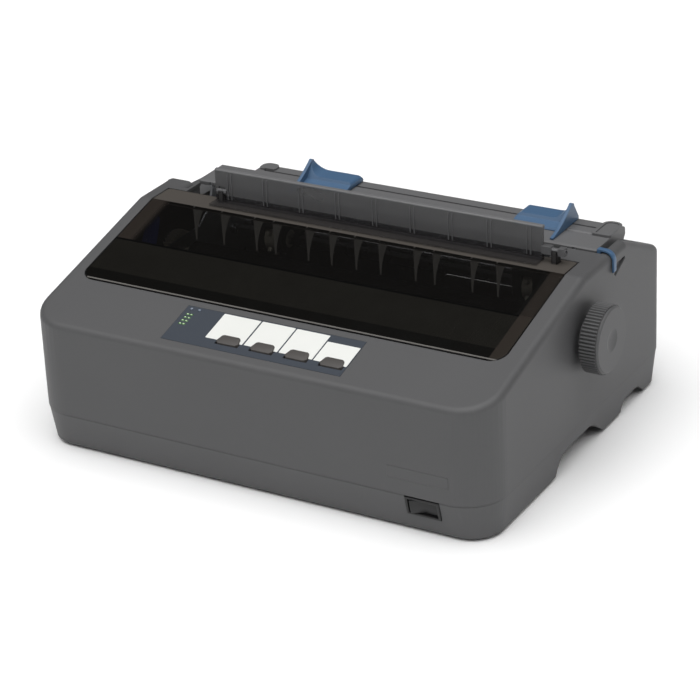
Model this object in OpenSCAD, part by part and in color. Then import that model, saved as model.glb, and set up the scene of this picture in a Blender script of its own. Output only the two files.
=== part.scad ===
// Dot matrix printer: tinted hinged cover, paper separator, paper guide, tractor feed, feed knob.
// Millimetres. Everything is drawn from the front left corner of the case on the table:
// x runs to the right, y to the rear, z up. place() then centres the whole on its footprint.

/* [Case] */
// Width of the case without the feed knob
case_w = 348; // [340:1:372]
// Depth of the case
case_d = 275; // [270:1:300]
// Height of the joint line between the two halves of the case
split_z = 28; // [26:1:32]
// Height at which the front face would meet the control deck
front_h = 94.4; // [92:0.2:98]
// Height of the level deck behind the cover
deck_h = 130; // [128:0.5:134]
// Where the sloped deck meets the level deck
deck_y = 143; // [140:1:146]
// Wall thickness of the mouldings
wall = 2.5; // [2:0.1:3]
// Plan radius of the front corners
front_r = 28; // [20:1:34]
// Plan radius of the rear corners
rear_r = 20; // [14:1:26]
// Radius of the rounded top edges
edge_r = 5; // [4:0.5:9]
// How far the lower case tapers in at the front, by its foot
base_inset = 6; // [3:0.1:9]
// How far it tapers in at the sides and the rear
side_inset = 3; // [1:0.1:6]
// Height of the rear rails where the rear slope ends
rear_h = 111; // [102:1:114]
// Where the right rail stops being level
rail_end = 207; // [200:1:212]
// Thickness of the rubber feet below the case
foot_h = 1; // [0.6:0.1:3]
// Height of the arched side notch behind the front foot
notch_h = 17.5; // [12:0.5:20]

/* [Cover] */
// Left edge of the recess that takes the cover
recess_x = 11.5; // [10:0.5:14]
// Gap from the recess to the right side of the case
recess_right = 14; // [12:0.5:18]
// Front edge of the recess
recess_y = 50; // [46:1:56]
// Rear edge of the recess
recess_rear = 164.5; // [164:0.5:168]
// Thickness of the cover
cover_t = 2.5; // [2:0.1:3]
// Gap all round the cover
cover_gap = 0.6; // [0.4:0.1:1]
// Front corner radius of the cover
cover_r = 11; // [6:0.5:14]
// Radius of the cover's hinge pins
hinge_r = 1; // [0.8:0.1:1.1]
// Rear edge of the sound shield under the cover
shield_end = 93.5; // [88:0.5:100]

/* [Separator] */
// Left end of the upright separator
sep_x = 57; // [50:1:64]
// Right end of the upright separator
sep_end = 311; // [300:1:314]
// Height of the separator's top edge
sep_top = 154.4; // [148:0.2:158]
// Where the separator stands, from the front of the case
sep_y = 157; // [155:0.5:158]
// Thickness of the separator
sep_t = 2; // [1.5:0.1:2.6]
// Spacing of the separator's ribs
sep_pitch = 29; // [20:1:40]

/* [Paper guide] */
// Left end of the paper guide
guide_x = 25; // [23:0.5:28]
// Front edge of the paper guide
guide_y = 184; // [183:0.5:186]
// Depth of the paper guide, front to rear
guide_d = 46; // [42:1:52]
// Height of the paper guide's top
guide_top = 131.4; // [131:0.1:133]
// Left edge guide, its outer face
edge_left_x = 98; // [86:1:110]
// Right edge guide, its outer face
edge_right_x = 304; // [280:1:312]
// Length of an edge guide along the paper guide
edge_w = 40; // [30:1:50]
// Height of an edge guide above the paper guide
edge_h = 14.6; // [10:0.2:18]

/* [Platen and knob] */
// Platen axis, from the front of the case
platen_y = 145.3; // [144:0.1:147]
// Platen axis, above the table
platen_z = 88; // [86:0.5:90]
// Radius of the rubber platen
platen_r = 12.5; // [11:0.5:13]
// Radius of the platen's shaft ends
shaft_r = 4; // [3:0.1:4.5]
// Radius of the feed knob
knob_r = 23.6; // [18:0.2:26]
// Thickness of the feed knob
knob_t = 13; // [11:0.5:17]
// Gap from the case to the knob
knob_gap = 5; // [2:0.5:6]
// Grooves round the knob
knob_grooves = 60; // [30:1:72]

/* [Gear train] */
// Module of the gears
gear_m = 1; // [0.9:0.05:1.05]
// Teeth of the platen gear
platen_teeth = 36; // [36:1:38]
// Teeth of the reduction gear
reduction_teeth = 40; // [36:1:42]
// Teeth of the motor pinion
pinion_teeth = 12; // [11:1:14]
// Teeth of the tractor idler
idler_teeth = 28; // [28:1:30]
// Teeth of the tractor gear
tractor_teeth = 35; // [35:1:37]
// Face width of the gears
gear_w = 6; // [4:0.5:6.5]

/* [Frame] */
// Outer face of the left side frame
frame_left = 34; // [33:0.5:36]
// Distance from the right side frame's outer face to the case's right side
frame_right = 26.5; // [26:0.5:29]
// Thickness of the frame's steel
steel_t = 1.5; // [1:0.1:2]

/* [Carriage] */
// Carriage shaft, from the front of the case
rod_y = 112; // [110:0.5:113]
// Carriage shaft, above the table
rod_z = 66; // [64:0.5:67]
// Radius of the carriage shaft
rod_r = 5; // [4:0.1:6]
// Middle of the carriage at its left end of travel
home_x = 87; // [84:1:92]
// Width of the carriage
carriage_w = 44; // [36:1:46]

/* [Tractors] */
// Tractor drive shaft, from the front of the case
tractor_y = 208; // [206:0.5:209]
// Tractor drive shaft, above the table
tractor_z = 86; // [84:0.5:88]
// Width of the square drive shaft
square_w = 6; // [5:0.5:7]
// Left tractor, its left face
tractor_left_x = 62; // [56:1:80]
// Right tractor, its right face
tractor_right_x = 290; // [270:1:300]
// Width of a tractor
tractor_w = 22; // [20:1:24]

/* [Control panel] */
// Left edge of the overlay
panel_x = 105; // [90:1:120]
// Width of the overlay
panel_w = 135.5; // [128:0.5:150]
// First button, from the overlay's left edge
button_x = 47; // [42:0.5:50]
// Spacing of the buttons
button_pitch = 25.9; // [22:0.1:26.5]
// Width of a button
button_w = 17; // [12:0.5:19]
// Depth of a button
button_d = 8.6; // [7:0.2:10]

/* [Power switch] */
// Middle of the power switch, from the left of the case
switch_x = 301.5; // [285:0.5:306]
// Width of the rocker
switch_w = 21; // [16:0.5:23]
// Height of the rocker
switch_h = 11; // [9:0.5:11.5]

/* [Hidden] */

$fn = 48;
case_grey = "#4d4e50";
part_blue = "#4a7fb5";
steel = "#b9bcc0";
black = "#1d1d1f";
clear_grey = "#8b8e92";

fit = 0.05;              // radial clearance of a shaft in its hole
slack = 0.4;             // clearance between pieces that pass each other
slope = atan((deck_h - front_h) / deck_y);
rear_y = case_d - 25;    // where the rear slope ends
rear_slope = atan((deck_h - rear_h) / (rear_y - rail_end));
recess_end = case_w - recess_right;
cover_x0 = recess_x + cover_gap;
cover_x1 = recess_end - cover_gap;
cover_y0 = recess_y + cover_gap + 0.4;
cover_y1 = recess_rear - cover_gap;
ledge = cover_t + 0.5;   // depth of the recess below the deck
hinge_y = cover_y1 - 3.4;
hinge_z = deck_h - cover_t / 2 - 0.1;
open_x0 = recess_x + 8.5;
open_x1 = recess_end - 15;
open_y0 = recess_y + 10;
slot_y1 = guide_y + 1;
well_y = guide_y - 1.6;     // front edge of the well, clear of the guide as it swings up
well_x0 = guide_x - 3;
rail_x = case_w - 6.8;
guide_end = rail_x - 4.2;
frame_x1 = case_w - frame_right;
frame_in0 = frame_left + steel_t;
frame_in1 = frame_x1 - steel_t;
step_y = 181;            // where the left block ends
step_z = 117;            // level of the roof behind it
guide_t = 3.4;
pivot_y = guide_y + 2.4;
pivot_z = guide_top - 3;

function deck_z(y) = y < deck_y ? front_h + (deck_h - front_h) * y / deck_y : deck_h;
function polar(r, a) = [r * cos(a), r * sin(a)];
function arc(c, r, a0, a1, n) = [for (i = [0:n]) c + polar(r, a0 + (a1 - a0) * i / n)];

// An upright profile, drawn as (y, z), stretched from x0 to x1
module along_x(x0, x1) {
    translate([x0, 0, 0]) rotate([90, 0, 90]) linear_extrude(x1 - x0) children();
}

// A rectangle in plan with one radius at its front corners and one at its rear corners
module plan_rect(x0, y0, x1, y1, rf, rr) {
    for (x = [x0 + rf, x1 - rf]) translate([x, y0 + rf]) circle(rf);
    for (x = [x0 + rr, x1 - rr]) translate([x, y1 - rr]) circle(rr);
    translate([x0 + rf, y0]) square([x1 - x0 - 2 * rf, rf + 1]);
    translate([x0 + rr, y1 - rr - 1]) square([x1 - x0 - 2 * rr, rr + 1]);
    translate([x0, y0 + rf]) square([x1 - x0, y1 - rr - y0 - rf]);
}

// A band that follows the deck, from a depth of a to a depth of b below it
module deck_band(y0, y1, a, b) {
    polygon([[y0, deck_z(y0) - a], [deck_y, deck_h - a], [y1, deck_h - a],
        [y1, deck_h - b], [deck_y, deck_h - b], [y0, deck_z(y0) - b]]);
}

// Moves its children onto the sloped deck: x across, then along the slope, then out of it
module on_deck(x, y) {
    translate([x, y, deck_z(y)]) rotate([slope, 0, 0]) children();
}

module place() {
    translate([-(case_w + knob_gap + knob_t) / 2, -case_d / 2, 0]) children();
}

// ---- the moulded case ----

module corner_ring(x, y, top, r, tilt, g) {
    translate([x, y, top - edge_r / cos(tilt)]) rotate([tilt, 0, 0])
        rotate_extrude($fn = 40) translate([r - edge_r, 0]) circle(edge_r - g, $fn = 32);
}

// The upper case as a solid, g inside its outer skin
module upper_solid(g) {
    rear_top = deck_h - (case_d - rear_r - rail_end) * tan(rear_slope);
    z0 = split_z - (g > 0 ? 3 : 0);
    hull() for (side = [0, 1]) {
        xf = side == 0 ? front_r : case_w - front_r;
        xr = side == 0 ? rear_r : case_w - rear_r;
        xe = side == 0 ? edge_r : case_w - edge_r;
        translate([xf, front_r, z0]) cylinder(r = front_r - g, h = 20, $fn = 64);
        translate([xr, case_d - rear_r, z0]) cylinder(r = rear_r - g, h = 20, $fn = 64);
        corner_ring(xf, front_r, deck_z(front_r), front_r, slope, g);
        corner_ring(xr, case_d - rear_r, rear_top, rear_r, -rear_slope, g);
        for (y = [deck_y + 0.5, rail_end]) translate([xe, y, deck_h - edge_r])
            sphere(edge_r - g, $fn = 40);
    }
}

// Profile of one arched notch: steep front, level ceiling, soft run down to the next foot
module arch(y0, y1, y2, y3, h) {
    polygon(concat([[y0, foot_h - 3]], [for (t = [0:15:90]) [y0 + (y1 - y0) * (1 - cos(t)), h * sin(t)]],
        [for (u = [0:0.125:1]) [y2 + (y3 - y2) * u, foot_h + (h - foot_h) * (1 + cos(180 * u)) / 2]],
        [[y3, foot_h - 3]]));
}

module side_notches(depth, g) {
    for (side = [0, 1]) {
        x0 = side == 0 ? -1 : case_w - depth;
        x1 = side == 0 ? depth : case_w + 1;
        along_x(x0, x1) arch(103 - g, 117 - g, 150, 186 + g, notch_h + g);
        along_x(x0, x1) arch(205 - g, 213 - g, 229, 250 + g, notch_h - 6 + g);
    }
}

module lower_solid(g) {
    rf = front_r - 6;
    rr = rear_r - 3;
    hull() for (side = [0, 1]) {
        xf = side == 0 ? front_r : case_w - front_r;
        xr = side == 0 ? rear_r : case_w - rear_r;
        for (p = [[xf, front_r, front_r], [xr, case_d - rear_r, rear_r]])
            translate([p.x, p.y, split_z - 1.2]) cylinder(r = p.z - g - 0.4, h = 1, $fn = 64);
        bf = side == 0 ? side_inset + rf : case_w - side_inset - rf;
        br = side == 0 ? side_inset + rr : case_w - side_inset - rr;
        for (p = [[bf, base_inset + rf, rf], [br, case_d - side_inset - rr, rr]]) {
            translate([p.x, p.y, foot_h + g]) cylinder(r = p.z - g - 2.2, h = 1, $fn = 64);
            translate([p.x, p.y, foot_h + g + 2]) cylinder(r = p.z - g, h = 1, $fn = 64);
        }
    }
}

module lower_case() color(case_grey) place() {
    difference() {
        union() {
            difference() {
                lower_solid(0);
                translate([0, 0, 0.1]) lower_solid(wall);
                translate([0, 0, split_z - 1]) linear_extrude(3)
                    plan_rect(wall + 1, wall + 1, case_w - wall - 1, case_d - wall - 1, front_r - 3, rear_r - 3);
            }
            intersection() {
                lower_solid(0.5);
                side_notches(notch_in, wall);
            }
            for (p = foot_places) translate([p.x, p.y, foot_h]) cylinder(r = 12, h = 6);
            for (p = screw_places) translate([p.x, p.y, foot_h]) cylinder(r = 5, h = base_z - foot_h);
        }
        side_notches(notch_in - wall, 0);
        for (p = foot_places) translate([p.x, p.y, foot_h - 1]) cylinder(r = 8.2, h = 4);
        for (p = screw_places) translate([p.x, p.y, foot_h + 3]) cylinder(r = 1.5, h = base_z);
        switch_frame() translate([-switch_w / 2 - 2, -4, -switch_h / 2 - 1.7]) cube([switch_w + 4, 20, switch_h + 8]);
        for (i = [0:7]) translate([120 + 12 * i, 60, foot_h - 1]) cube([5, 46, 5]);
    }
}

notch_in = 24;           // how far the side notches reach in
foot_places = [[34, 34], [case_w - 34, 34], [34, case_d - 27], [case_w - 34, case_d - 27]];
screw_places = [[60, 70], [case_w - 60, 70], [60, 198], [case_w - 60, 198]];
base_z = 12;             // underside of the steel base frame

module rubber_feet() color(black) place() {
    for (p = foot_places) translate([p.x, p.y, 0]) {
        cylinder(r = 7, h = 1);
        translate([0, 0, 0.5]) cylinder(r = 8, h = foot_h + 2.2);
    }
}

module upper_case() color(case_grey) place() {
    difference() {
        union() {
            difference() {
                upper_solid(0);
                upper_solid(wall);
            }
            // rim and floor of the recess that takes the cover
            intersection() {
                linear_extrude(deck_h + 5)
                    plan_rect(recess_x - 2, recess_y - 2.5, recess_end + 2.5, recess_rear + 2.5, cover_r, 3);
                along_x(recess_x - 2, recess_end + 2.5) deck_band(recess_y - 2.5, recess_rear + 2.5, 0.8, ledge + wall);
            }
            // collar round the shaft of the feed knob
            translate([case_w - wall, platen_y, platen_z]) rotate([0, 90, 0]) cylinder(r = 13, h = wall + 1.6);
            // inner walls of the well behind the deck
            along_x(well_x0 - wall, well_x0) well_side(step_y - 4);
            along_x(rail_x, rail_x + wall) well_side(well_y - 2);
            along_x(well_x0, rail_x) translate([rear_y - 6, rear_h - 14]) square([wall, 15.5]);
            // floor and walls of the notch beside the left block
            translate([well_x0 - 8, step_y - 16, deck_h - 11]) cube([12, 18, 9]);
            // lower roof behind the left block
            along_x(wall - 1, well_x0) polygon([[step_y - wall, deck_h - 1], [step_y, deck_h - 1], [step_y + 5, step_z],
                [rear_y, rear_h + 1], [rear_y, rear_h - 2], [step_y + 4, step_z - wall], [step_y - wall, deck_h - 6]]);
        }
        // recess, cover opening, hinge sockets
        intersection() {
            linear_extrude(deck_h + 30) plan_rect(recess_x, recess_y, recess_end, recess_rear, cover_r, 3);
            along_x(recess_x, recess_end) deck_band(recess_y, recess_rear, -25, ledge);
        }
        linear_extrude(deck_h + 30) plan_rect(open_x0, open_y0, open_x1, recess_rear, 8, 1);
        linear_extrude(deck_h + 30) plan_rect(open_x0 + 7, recess_rear - 10, open_x1 - 7, slot_y1, 1, 1);
        translate([recess_x, hinge_y - 6, deck_h - 7]) cube([recess_end - recess_x, 6 + recess_rear - hinge_y, 7]);
        for (x = [recess_x - 2, recess_end - 1]) translate([x, hinge_y, hinge_z]) rotate([0, 90, 0])
            cylinder(r = hinge_r + fit, h = 3);
        // well for the paper guide, and the step at the end of the left block
        along_x(well_x0, rail_x) polygon([[well_y, deck_h + 9], [well_y, 60], [rear_y - 6, 60],
            [rear_y - 6, rear_h + 9], [rear_y + 4, rear_h + 9]]);
        along_x(-1, well_x0) polygon([[step_y, deck_h + 9], [step_y, deck_h - 2], [step_y + 5, step_z],
            [rear_y, rear_h + 1], [rear_y, deck_h + 9]]);
        // notch beside the left block, whose edge is rounded
        translate([0, step_y + 2, 0]) rotate([90, 0, 0]) linear_extrude(14) difference() {
            translate([well_x0 - 5, deck_h - 8]) square([guide_x - well_x0 + 5, 9]);
            translate([well_x0 - 5, deck_h - 5]) circle(5);
            translate([well_x0 - 6, deck_h - 9]) square([6, 4]);
        }
        // feed knob shaft, ports and mains inlet at the rear
        translate([case_w - 12, platen_y, platen_z]) rotate([0, 90, 0]) cylinder(r = shaft_r + 2, h = 30);
        for (p = port_places) translate([p[0] - 1, case_d - 8, p[1] - 3]) cube([p[2] + 2, 12, p[3] + 4]);
        translate([inlet_x - 0.5, case_d - 8, inlet_z - 0.5]) cube([inlet_w + 1, 12, inlet_h + 1]);
        // scoop in the side wall by the release lever
        translate([case_w - 1.8, 0, 0]) along_x(0, 4) polygon([[guide_y + 4, 114], [guide_y + 6, 112], [205, 119], [205, 121], [guide_y + 4, 121]]);
        // slots for the panel buttons
        for (i = [0:3]) on_deck(panel_x + button_x + i * button_pitch, button_y)
            translate([-button_w / 2 - 0.3, -button_d / 2 - 0.3, -8]) cube([button_w + 0.6, button_d + 0.6, 12]);
        // shallow bed for the overlay
        on_deck(panel_x, panel_y) translate([-0.2, 0, -0.4]) cube([panel_w + 0.4, panel_d, 5]);
    }
}

module well_side(y0) {
    polygon([[y0, deck_h - 1.5], [y0, deck_h - 20], [rear_y - 6, rear_h - 14], [rear_y - 4, rear_h - 1.5],
        [rail_end, rear_h - 1.5]]);
}

// ---- cover, sound shield, separator ----

module printer_cover() color(black, 0.75) place() {
    intersection() {
        linear_extrude(deck_h + 5) plan_rect(cover_x0, cover_y0, cover_x1, cover_y1, cover_r - cover_gap, 2.5);
        along_x(cover_x0, cover_x1) deck_band(cover_y0, cover_y1, 0.1, cover_t + 0.1);
    }
    for (x = [cover_x0 - cover_gap - 1.6, cover_x1 - 0.5]) translate([x, hinge_y, hinge_z])
        rotate([0, 90, 0]) cylinder(r = hinge_r, h = cover_gap + 2.1);
    // cradles for the separator's end bars
    for (x = cradle_places) translate([x, bar_y, 0]) difference() {
        translate([0, -3, deck_h - 0.2]) cube([4, 6, bar_z - deck_h + 1]);
        translate([-1, 0, bar_z]) rotate([0, 90, 0]) cylinder(r = bar_r + fit, h = 6);
    }
}

rib_places = [44, 67, 94, 109.5, 136, 154.5, 174, 193, 220, 234.6, 263, 282];
bar_y = sep_y + 1;
bar_z = deck_h + 8;
bar_r = 2.2;
cradle_places = [sep_x + 3, sep_end + 7];

// Ribs that guide the paper out under the cover's rear strip
module cover_ribs() color("#6b6661") place() {
    for (x = rib_places) along_x(x, x + 1.2) polygon(concat([[cover_y1 - 2, deck_h - cover_t - 0.1]],
        [for (a = [0:15:90]) [cover_y1 - 2 - 15 * sin(a), deck_h - cover_t - 21 + 17 * cos(a) - 4 * sin(a)]],
        [[cover_y1 - 18, deck_h - cover_t - 0.1]]));
}

module sound_shield() color("#2a2624") place() {
    intersection() {
        linear_extrude(deck_h + 5) plan_rect(cover_x0 + 9, cover_y0 + 10.5, cover_x1 - 16, shield_end, 4, 1);
        along_x(cover_x0, cover_x1) deck_band(cover_y0, shield_end + 60, cover_t + 0.1, cover_t + 1.3);
    }
}

module paper_separator() color(clear_grey, 0.6) place() {
    difference() {
        union() {
            along_x(sep_x, sep_end) polygon(concat([[sep_y, deck_h + 1.6], [sep_y, sep_top - 1.2]],
                arc([sep_y + 1.2, sep_top - 1.2], 1.2, 180, 90, 4),
                [[sep_y + sep_t + 1, sep_top], [sep_y + sep_t + 1, sep_top - 2], [sep_y + sep_t, sep_top - 3],
                [sep_y + sep_t, deck_h + 1.6]]));
            // pairs of slim ribs
            for (x = [sep_x + 10:sep_pitch:sep_end - 3]) for (k = [0, 3]) along_x(x + k, x + k + 0.8)
                polygon([[sep_y - 0.8, deck_h + 3], [sep_y - 0.6, sep_top - 3], [sep_y + 0.2, sep_top - 0.8], [sep_y + 0.2, deck_h + 3]]);
            translate([sep_x, sep_y - 10, deck_h + 0.6]) cube([sep_end - sep_x, 10 + sep_t, 1.2]);
        }
        // finger recess in the foot that lies over the cover's rear strip
        translate([0, 0, deck_h + 1.2]) linear_extrude(2)
            polygon([[sep_x + 77, sep_y - 11], [sep_x + 84, sep_y - 1.6], [sep_x + 146, sep_y - 1.6], [sep_x + 153, sep_y - 11]]);
        // window for the left cradle
        translate([sep_x + 2.4, sep_y - 2.6, deck_h - 1]) cube([5.2, sep_t + 4, bar_z - deck_h + 4.8]);
    }
    // bars that turn in the cover's cradles
    translate([sep_x + 1, bar_y, bar_z]) rotate([0, 90, 0]) cylinder(r = bar_r, h = 8);
    translate([sep_end - 0.5, bar_y, bar_z]) rotate([0, 90, 0]) difference() {
        cylinder(r = bar_r, h = 17);
        translate([0, 0, 13.5]) cylinder(r = 1.2, h = 4.5);
    }
    // square shroud over the right bar
    along_x(sep_end - 0.5, sep_end + 6.4) polygon([[bar_y - 2.6, bar_z - 2.4], [bar_y - 2.6, bar_z + 2.8], [bar_y + 2.6, bar_z + 2.8],
        [bar_y + 2.6, bar_z - 2.4]]);
    along_x(sep_end + 11.6, sep_end + 15.8) polygon([[bar_y - 2.6, bar_z - 2.4], [bar_y - 2.6, bar_z + 2.8], [bar_y + 2.6, bar_z + 2.8],
        [bar_y + 2.6, bar_z - 2.4]]);
}

// ---- paper guide and its edge guides ----

module paper_guide() color(case_grey) place() {
    difference() {
        union() {
            along_x(guide_x, guide_end) polygon(concat([[guide_y, guide_top - guide_t], [guide_y, guide_top - 1]],
                [[guide_y + 1, guide_top], [guide_y + 21, guide_top], [guide_y + 22, guide_top - 0.7],
                [guide_y + 24, guide_top - 0.7], [guide_y + 25, guide_top], [guide_y + guide_d - 3, guide_top]],
                arc([guide_y + guide_d - 3, guide_top - 3], 3, 90, 0, 4), [[guide_y + guide_d, guide_top - guide_t]]));
            // raised right rear corner
            translate([guide_end - 14, guide_y + 22, guide_top - 2]) linear_extrude(3.4) plan_rect(0, 0, 14, guide_d - 22, 2, 6);
            // raised stop at the left
            translate([guide_x + 29, guide_y + guide_d - 12, guide_top - 2]) linear_extrude(3.4) plan_rect(0, 0, 13, 11, 3, 5);
            // right end wall that closes the gap to the rail
            along_x(guide_end - 2.6, guide_end) polygon([[guide_y + 12, guide_top - 1], [guide_y + 12, guide_top - 5], [guide_y + 20, guide_top - 11],
                [guide_y + guide_d - 4, guide_top - 11], [guide_y + guide_d, guide_top - 6], [guide_y + guide_d, guide_top - 3]]);
        }
        // open underside between the ribs
        translate([guide_x + 2, guide_y + 8, guide_top - guide_t - 1]) cube([guide_end - guide_x - 4.8, guide_d - 11, guide_t - 1.2]);
        // slot in which the edge guides slide
        translate([guide_x + 34, key_y - 1, guide_top - 8]) cube([guide_end - guide_x - 50, 2, 12]);
        // cut-away left rear corner
        translate([guide_x - 1, guide_y + 31, guide_top - 8]) cube([29, 20, 14]);
        // pockets over the hinge ears of the frame
        for (x = [frame_left, frame_in1]) translate([x - 0.5, guide_y - 1, guide_top - 8]) cube([steel_t + 1, 9, 6.9]);
        translate([guide_end - 12, guide_y + 24, guide_top + 0.6]) linear_extrude(3) plan_rect(0, 0, 10, guide_d - 26, 1, 4);
    }
    // hinge pins in the ears of the frame
    for (x = [frame_left, frame_in1]) translate([x - 1, pivot_y, pivot_z]) rotate([0, 90, 0])
        cylinder(r = 1, h = steel_t + 2);
}

key_y = guide_y + 34;

// An edge guide: tall outer fin that sweeps down in a scoop to a low block; s = 1 for the left one, -1 for the right one
module edge_guide(x, s) {
    z0 = guide_top + 0.3;
    translate([x, 0, 0]) mirror([s < 0 ? 1 : 0, 0, 0]) {
        // fin, with a rounded peak
        along_x(0, 2.4) difference() {
            union() {
                polygon(concat([[guide_y + 3, z0], [guide_y + 3, z0 + 1]],
                    [for (u = [0.1:0.1:1]) [guide_y + 3 + 29 * u, z0 + 1.2 + (edge_h - 2) * pow(u, 1.5)]],
                    [[guide_y + 35.6, z0 + edge_h - 1.6], [guide_y + guide_d - 3, z0 + 2], [guide_y + guide_d - 3, z0]]));
                translate([guide_y + 33.8, z0 + edge_h - 2.2]) circle(2.2);
            }
            translate([guide_y, z0 - 4]) square([60, 4]);
        }
        // scooped block: a profile across the paper guide, cut by a profile along it
        intersection() {
            along_x(1, edge_w - 2) polygon([[guide_y + 17, z0], [guide_y + 18, z0 + 1.4], [guide_y + 25, z0 + 3.4],
                [guide_y + 32, z0 + edge_h - 2], [guide_y + 36, z0 + edge_h - 2], [guide_y + guide_d - 3, z0 + 1.6],
                [guide_y + guide_d - 3, z0]]);
            translate([0, guide_y + 60, 0]) rotate([90, 0, 0]) linear_extrude(60) {
                difference() {
                    translate([0, z0]) square([12, edge_h]);
                    translate([12, z0 + 5.2 + 9.4]) circle(9.4);
                }
                translate([11.9, z0]) square([edge_w - 17, 5.2]);
                translate([edge_w - 5.3, z0]) intersection() {
                    square([3.4, 5.2]);
                    translate([0, 1.8]) circle(3.4);
                }
            }
        }
        // key and head that run in the paper guide's slot
        translate([6, key_y - 0.7, guide_top - 3.2]) cube([edge_w - 14, 1.4, 4]);
        translate([6, key_y - 4, guide_top - 4]) cube([edge_w - 14, 8, 1.4]);
    }
}

module edge_guide_left() color(part_blue) place() edge_guide(edge_left_x, 1);
module edge_guide_right() color(part_blue) place() edge_guide(edge_right_x, -1);

// ---- levers ----

lever_x = rail_x - 3.4;
lever_pivot = [guide_y + 6.5, 72];
head_c = [case_w - edge_r, deck_h - edge_r + 0.4];

// Paper release lever: it comes up beside the paper guide and wraps over the right rail
module release_lever() color(part_blue) place() {
    difference() {
        union() {
            along_x(lever_x, lever_x + 2.6) polygon([[guide_y - 1, deck_h + 2.6], [guide_y - 1, 112],
                [lever_pivot.x - 4, lever_pivot.y], [lever_pivot.x + 4, lever_pivot.y], [guide_y + 3, 112], [guide_y + 3, deck_h + 2.6]]);
            translate([lever_x, lever_pivot.x, lever_pivot.y]) rotate([0, 90, 0]) cylinder(r = 6, h = 2.6);
            // hub out to the frame
            translate([frame_x1 + 1, lever_pivot.x, lever_pivot.y]) rotate([0, 90, 0]) cylinder(r = 4.5, h = lever_x - frame_x1);
        }
        translate([frame_x1, lever_pivot.x, lever_pivot.y]) rotate([0, 90, 0]) cylinder(r = 2.5 + fit, h = 30);
    }
    // head, following the rounded edge of the rail
    translate([0, guide_y + 3, 0]) rotate([90, 0, 0]) linear_extrude(4) polygon(concat(
        [[lever_x, deck_h + 1.1], [lever_x, deck_h + 2.5]], arc(head_c, edge_r + 2.1, 90, 0, 8),
        [[case_w + 2.1, 118], [case_w + 0.7, 117]], arc(head_c, edge_r + 0.7, 0, 90, 8)));
}

// Paper thickness lever, on the left end of the carriage shaft
module thickness_lever() color("#2c4f8c") place() {
    difference() {
        along_x(12, 18) union() {
            translate([rod_y, rod_z]) circle(9);
            polygon([[rod_y - 6, rod_z + 4], [rod_y + 14, rod_z + 38], [rod_y + 20, rod_z + 48], [rod_y + 21, rod_z + 54],
                [rod_y + 27, rod_z + 55], [rod_y + 30, rod_z + 50], [rod_y + 26, rod_z + 40], [rod_y + 20, rod_z + 28], [rod_y + 8, rod_z + 3]]);
        }
        translate([10, rod_y, rod_z]) rotate([0, 90, 0]) cylinder(r = rod_r, h = 10);
    }
}

module carriage_shaft() color(steel) place() {
    translate([11, rod_y, rod_z]) rotate([0, 90, 0]) cylinder(r = rod_r, h = frame_x1 + 3 - 11);
}

// ---- knob, platen and gears ----

module feed_knob() color(case_grey) place() {
    translate([case_w + knob_gap, platen_y, platen_z]) rotate([0, 90, 0]) difference() {
        union() {
            linear_extrude(knob_t - 2) polygon([for (i = [0:knob_grooves * 4 - 1])
                polar(knob_r - (i % 4 < 2 ? 0 : 0.9), i * 90 / knob_grooves)]);
            translate([0, 0, knob_t - 2]) cylinder(r = knob_r - 1.2, h = 1);
            translate([0, 0, knob_t - 1]) cylinder(r1 = knob_r - 1.2, r2 = knob_r - 2.2, h = 1);
        }
        // shallow dish in the middle of the face
        translate([0, 0, knob_t + 21.6]) sphere(23, $fn = 96);
        translate([0, 0, -1]) cylinder(r = shaft_r, h = 9);
        // hollow back with its hub
        translate([0, 0, -1]) difference() {
            cylinder(r = knob_r - 4, h = 8);
            cylinder(r = shaft_r + 3, h = 9);
        }
    }
}

module platen_core() color(steel) place() {
    translate([22, platen_y, platen_z]) rotate([0, 90, 0]) {
        cylinder(r = shaft_r, h = case_w + knob_gap + 7.5 - 22);
        translate([0, 0, frame_left + 8 - 22]) cylinder(r = platen_r - 4, h = frame_x1 - frame_left - 16);
    }
}

module platen_roller() color(black) place() {
    translate([frame_left + 9, platen_y, platen_z]) rotate([0, 90, 0]) difference() {
        cylinder(r = platen_r, h = frame_x1 - frame_left - 18, $fn = 96);
        translate([0, 0, -1]) cylinder(r = platen_r - 4, h = frame_x1);
    }
}

module platen_bushes() color("#d8d4c8") place() {
    for (s = [0, 1]) translate([s == 0 ? frame_left : frame_x1, platen_y, platen_z]) rotate([0, s == 0 ? 90 : -90, 0])
        difference() {
            union() {
                translate([0, 0, -1.5]) cylinder(r = 10, h = 1.4);
                translate([0, 0, -1]) cylinder(r = 7, h = 6);
            }
            translate([0, 0, -3]) cylinder(r = shaft_r + fit, h = 12);
        }
}

// Involute of a base circle, as a point at a roll of t degrees
function involute(rb, t) = [rb * (cos(t) + t * PI / 180 * sin(t)), rb * (sin(t) - t * PI / 180 * cos(t))];
function roll(rb, r) = r > rb ? sqrt(pow(r / rb, 2) - 1) * 180 / PI : 0;
function inv_angle(rb, r) = let (p = involute(rb, roll(rb, r))) atan2(p.y, p.x);

backlash = 0.22;

// Outline of a spur gear with its first tooth at angle a
module gear_outline(teeth, a) {
    rp = gear_m * teeth / 2;
    rb = rp * cos(20);
    ra = rp + 0.9 * gear_m;
    rf = rp - 1.25 * gear_m;
    half = 90 / teeth - backlash / rp * 90 / PI + inv_angle(rb, rp);
    rs = [max(rb, rf + 0.1), rp, ra];
    polygon([for (i = [0:teeth - 1]) each concat([polar(rf, a + i * 360 / teeth - half)],
        [for (r = rs) polar(r, a + i * 360 / teeth - half + inv_angle(rb, r))],
        [for (k = [2:-1:0]) polar(rs[k], a + i * 360 / teeth + half - inv_angle(rb, rs[k]))],
        [polar(rf, a + i * 360 / teeth + half)])]);
}

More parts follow.
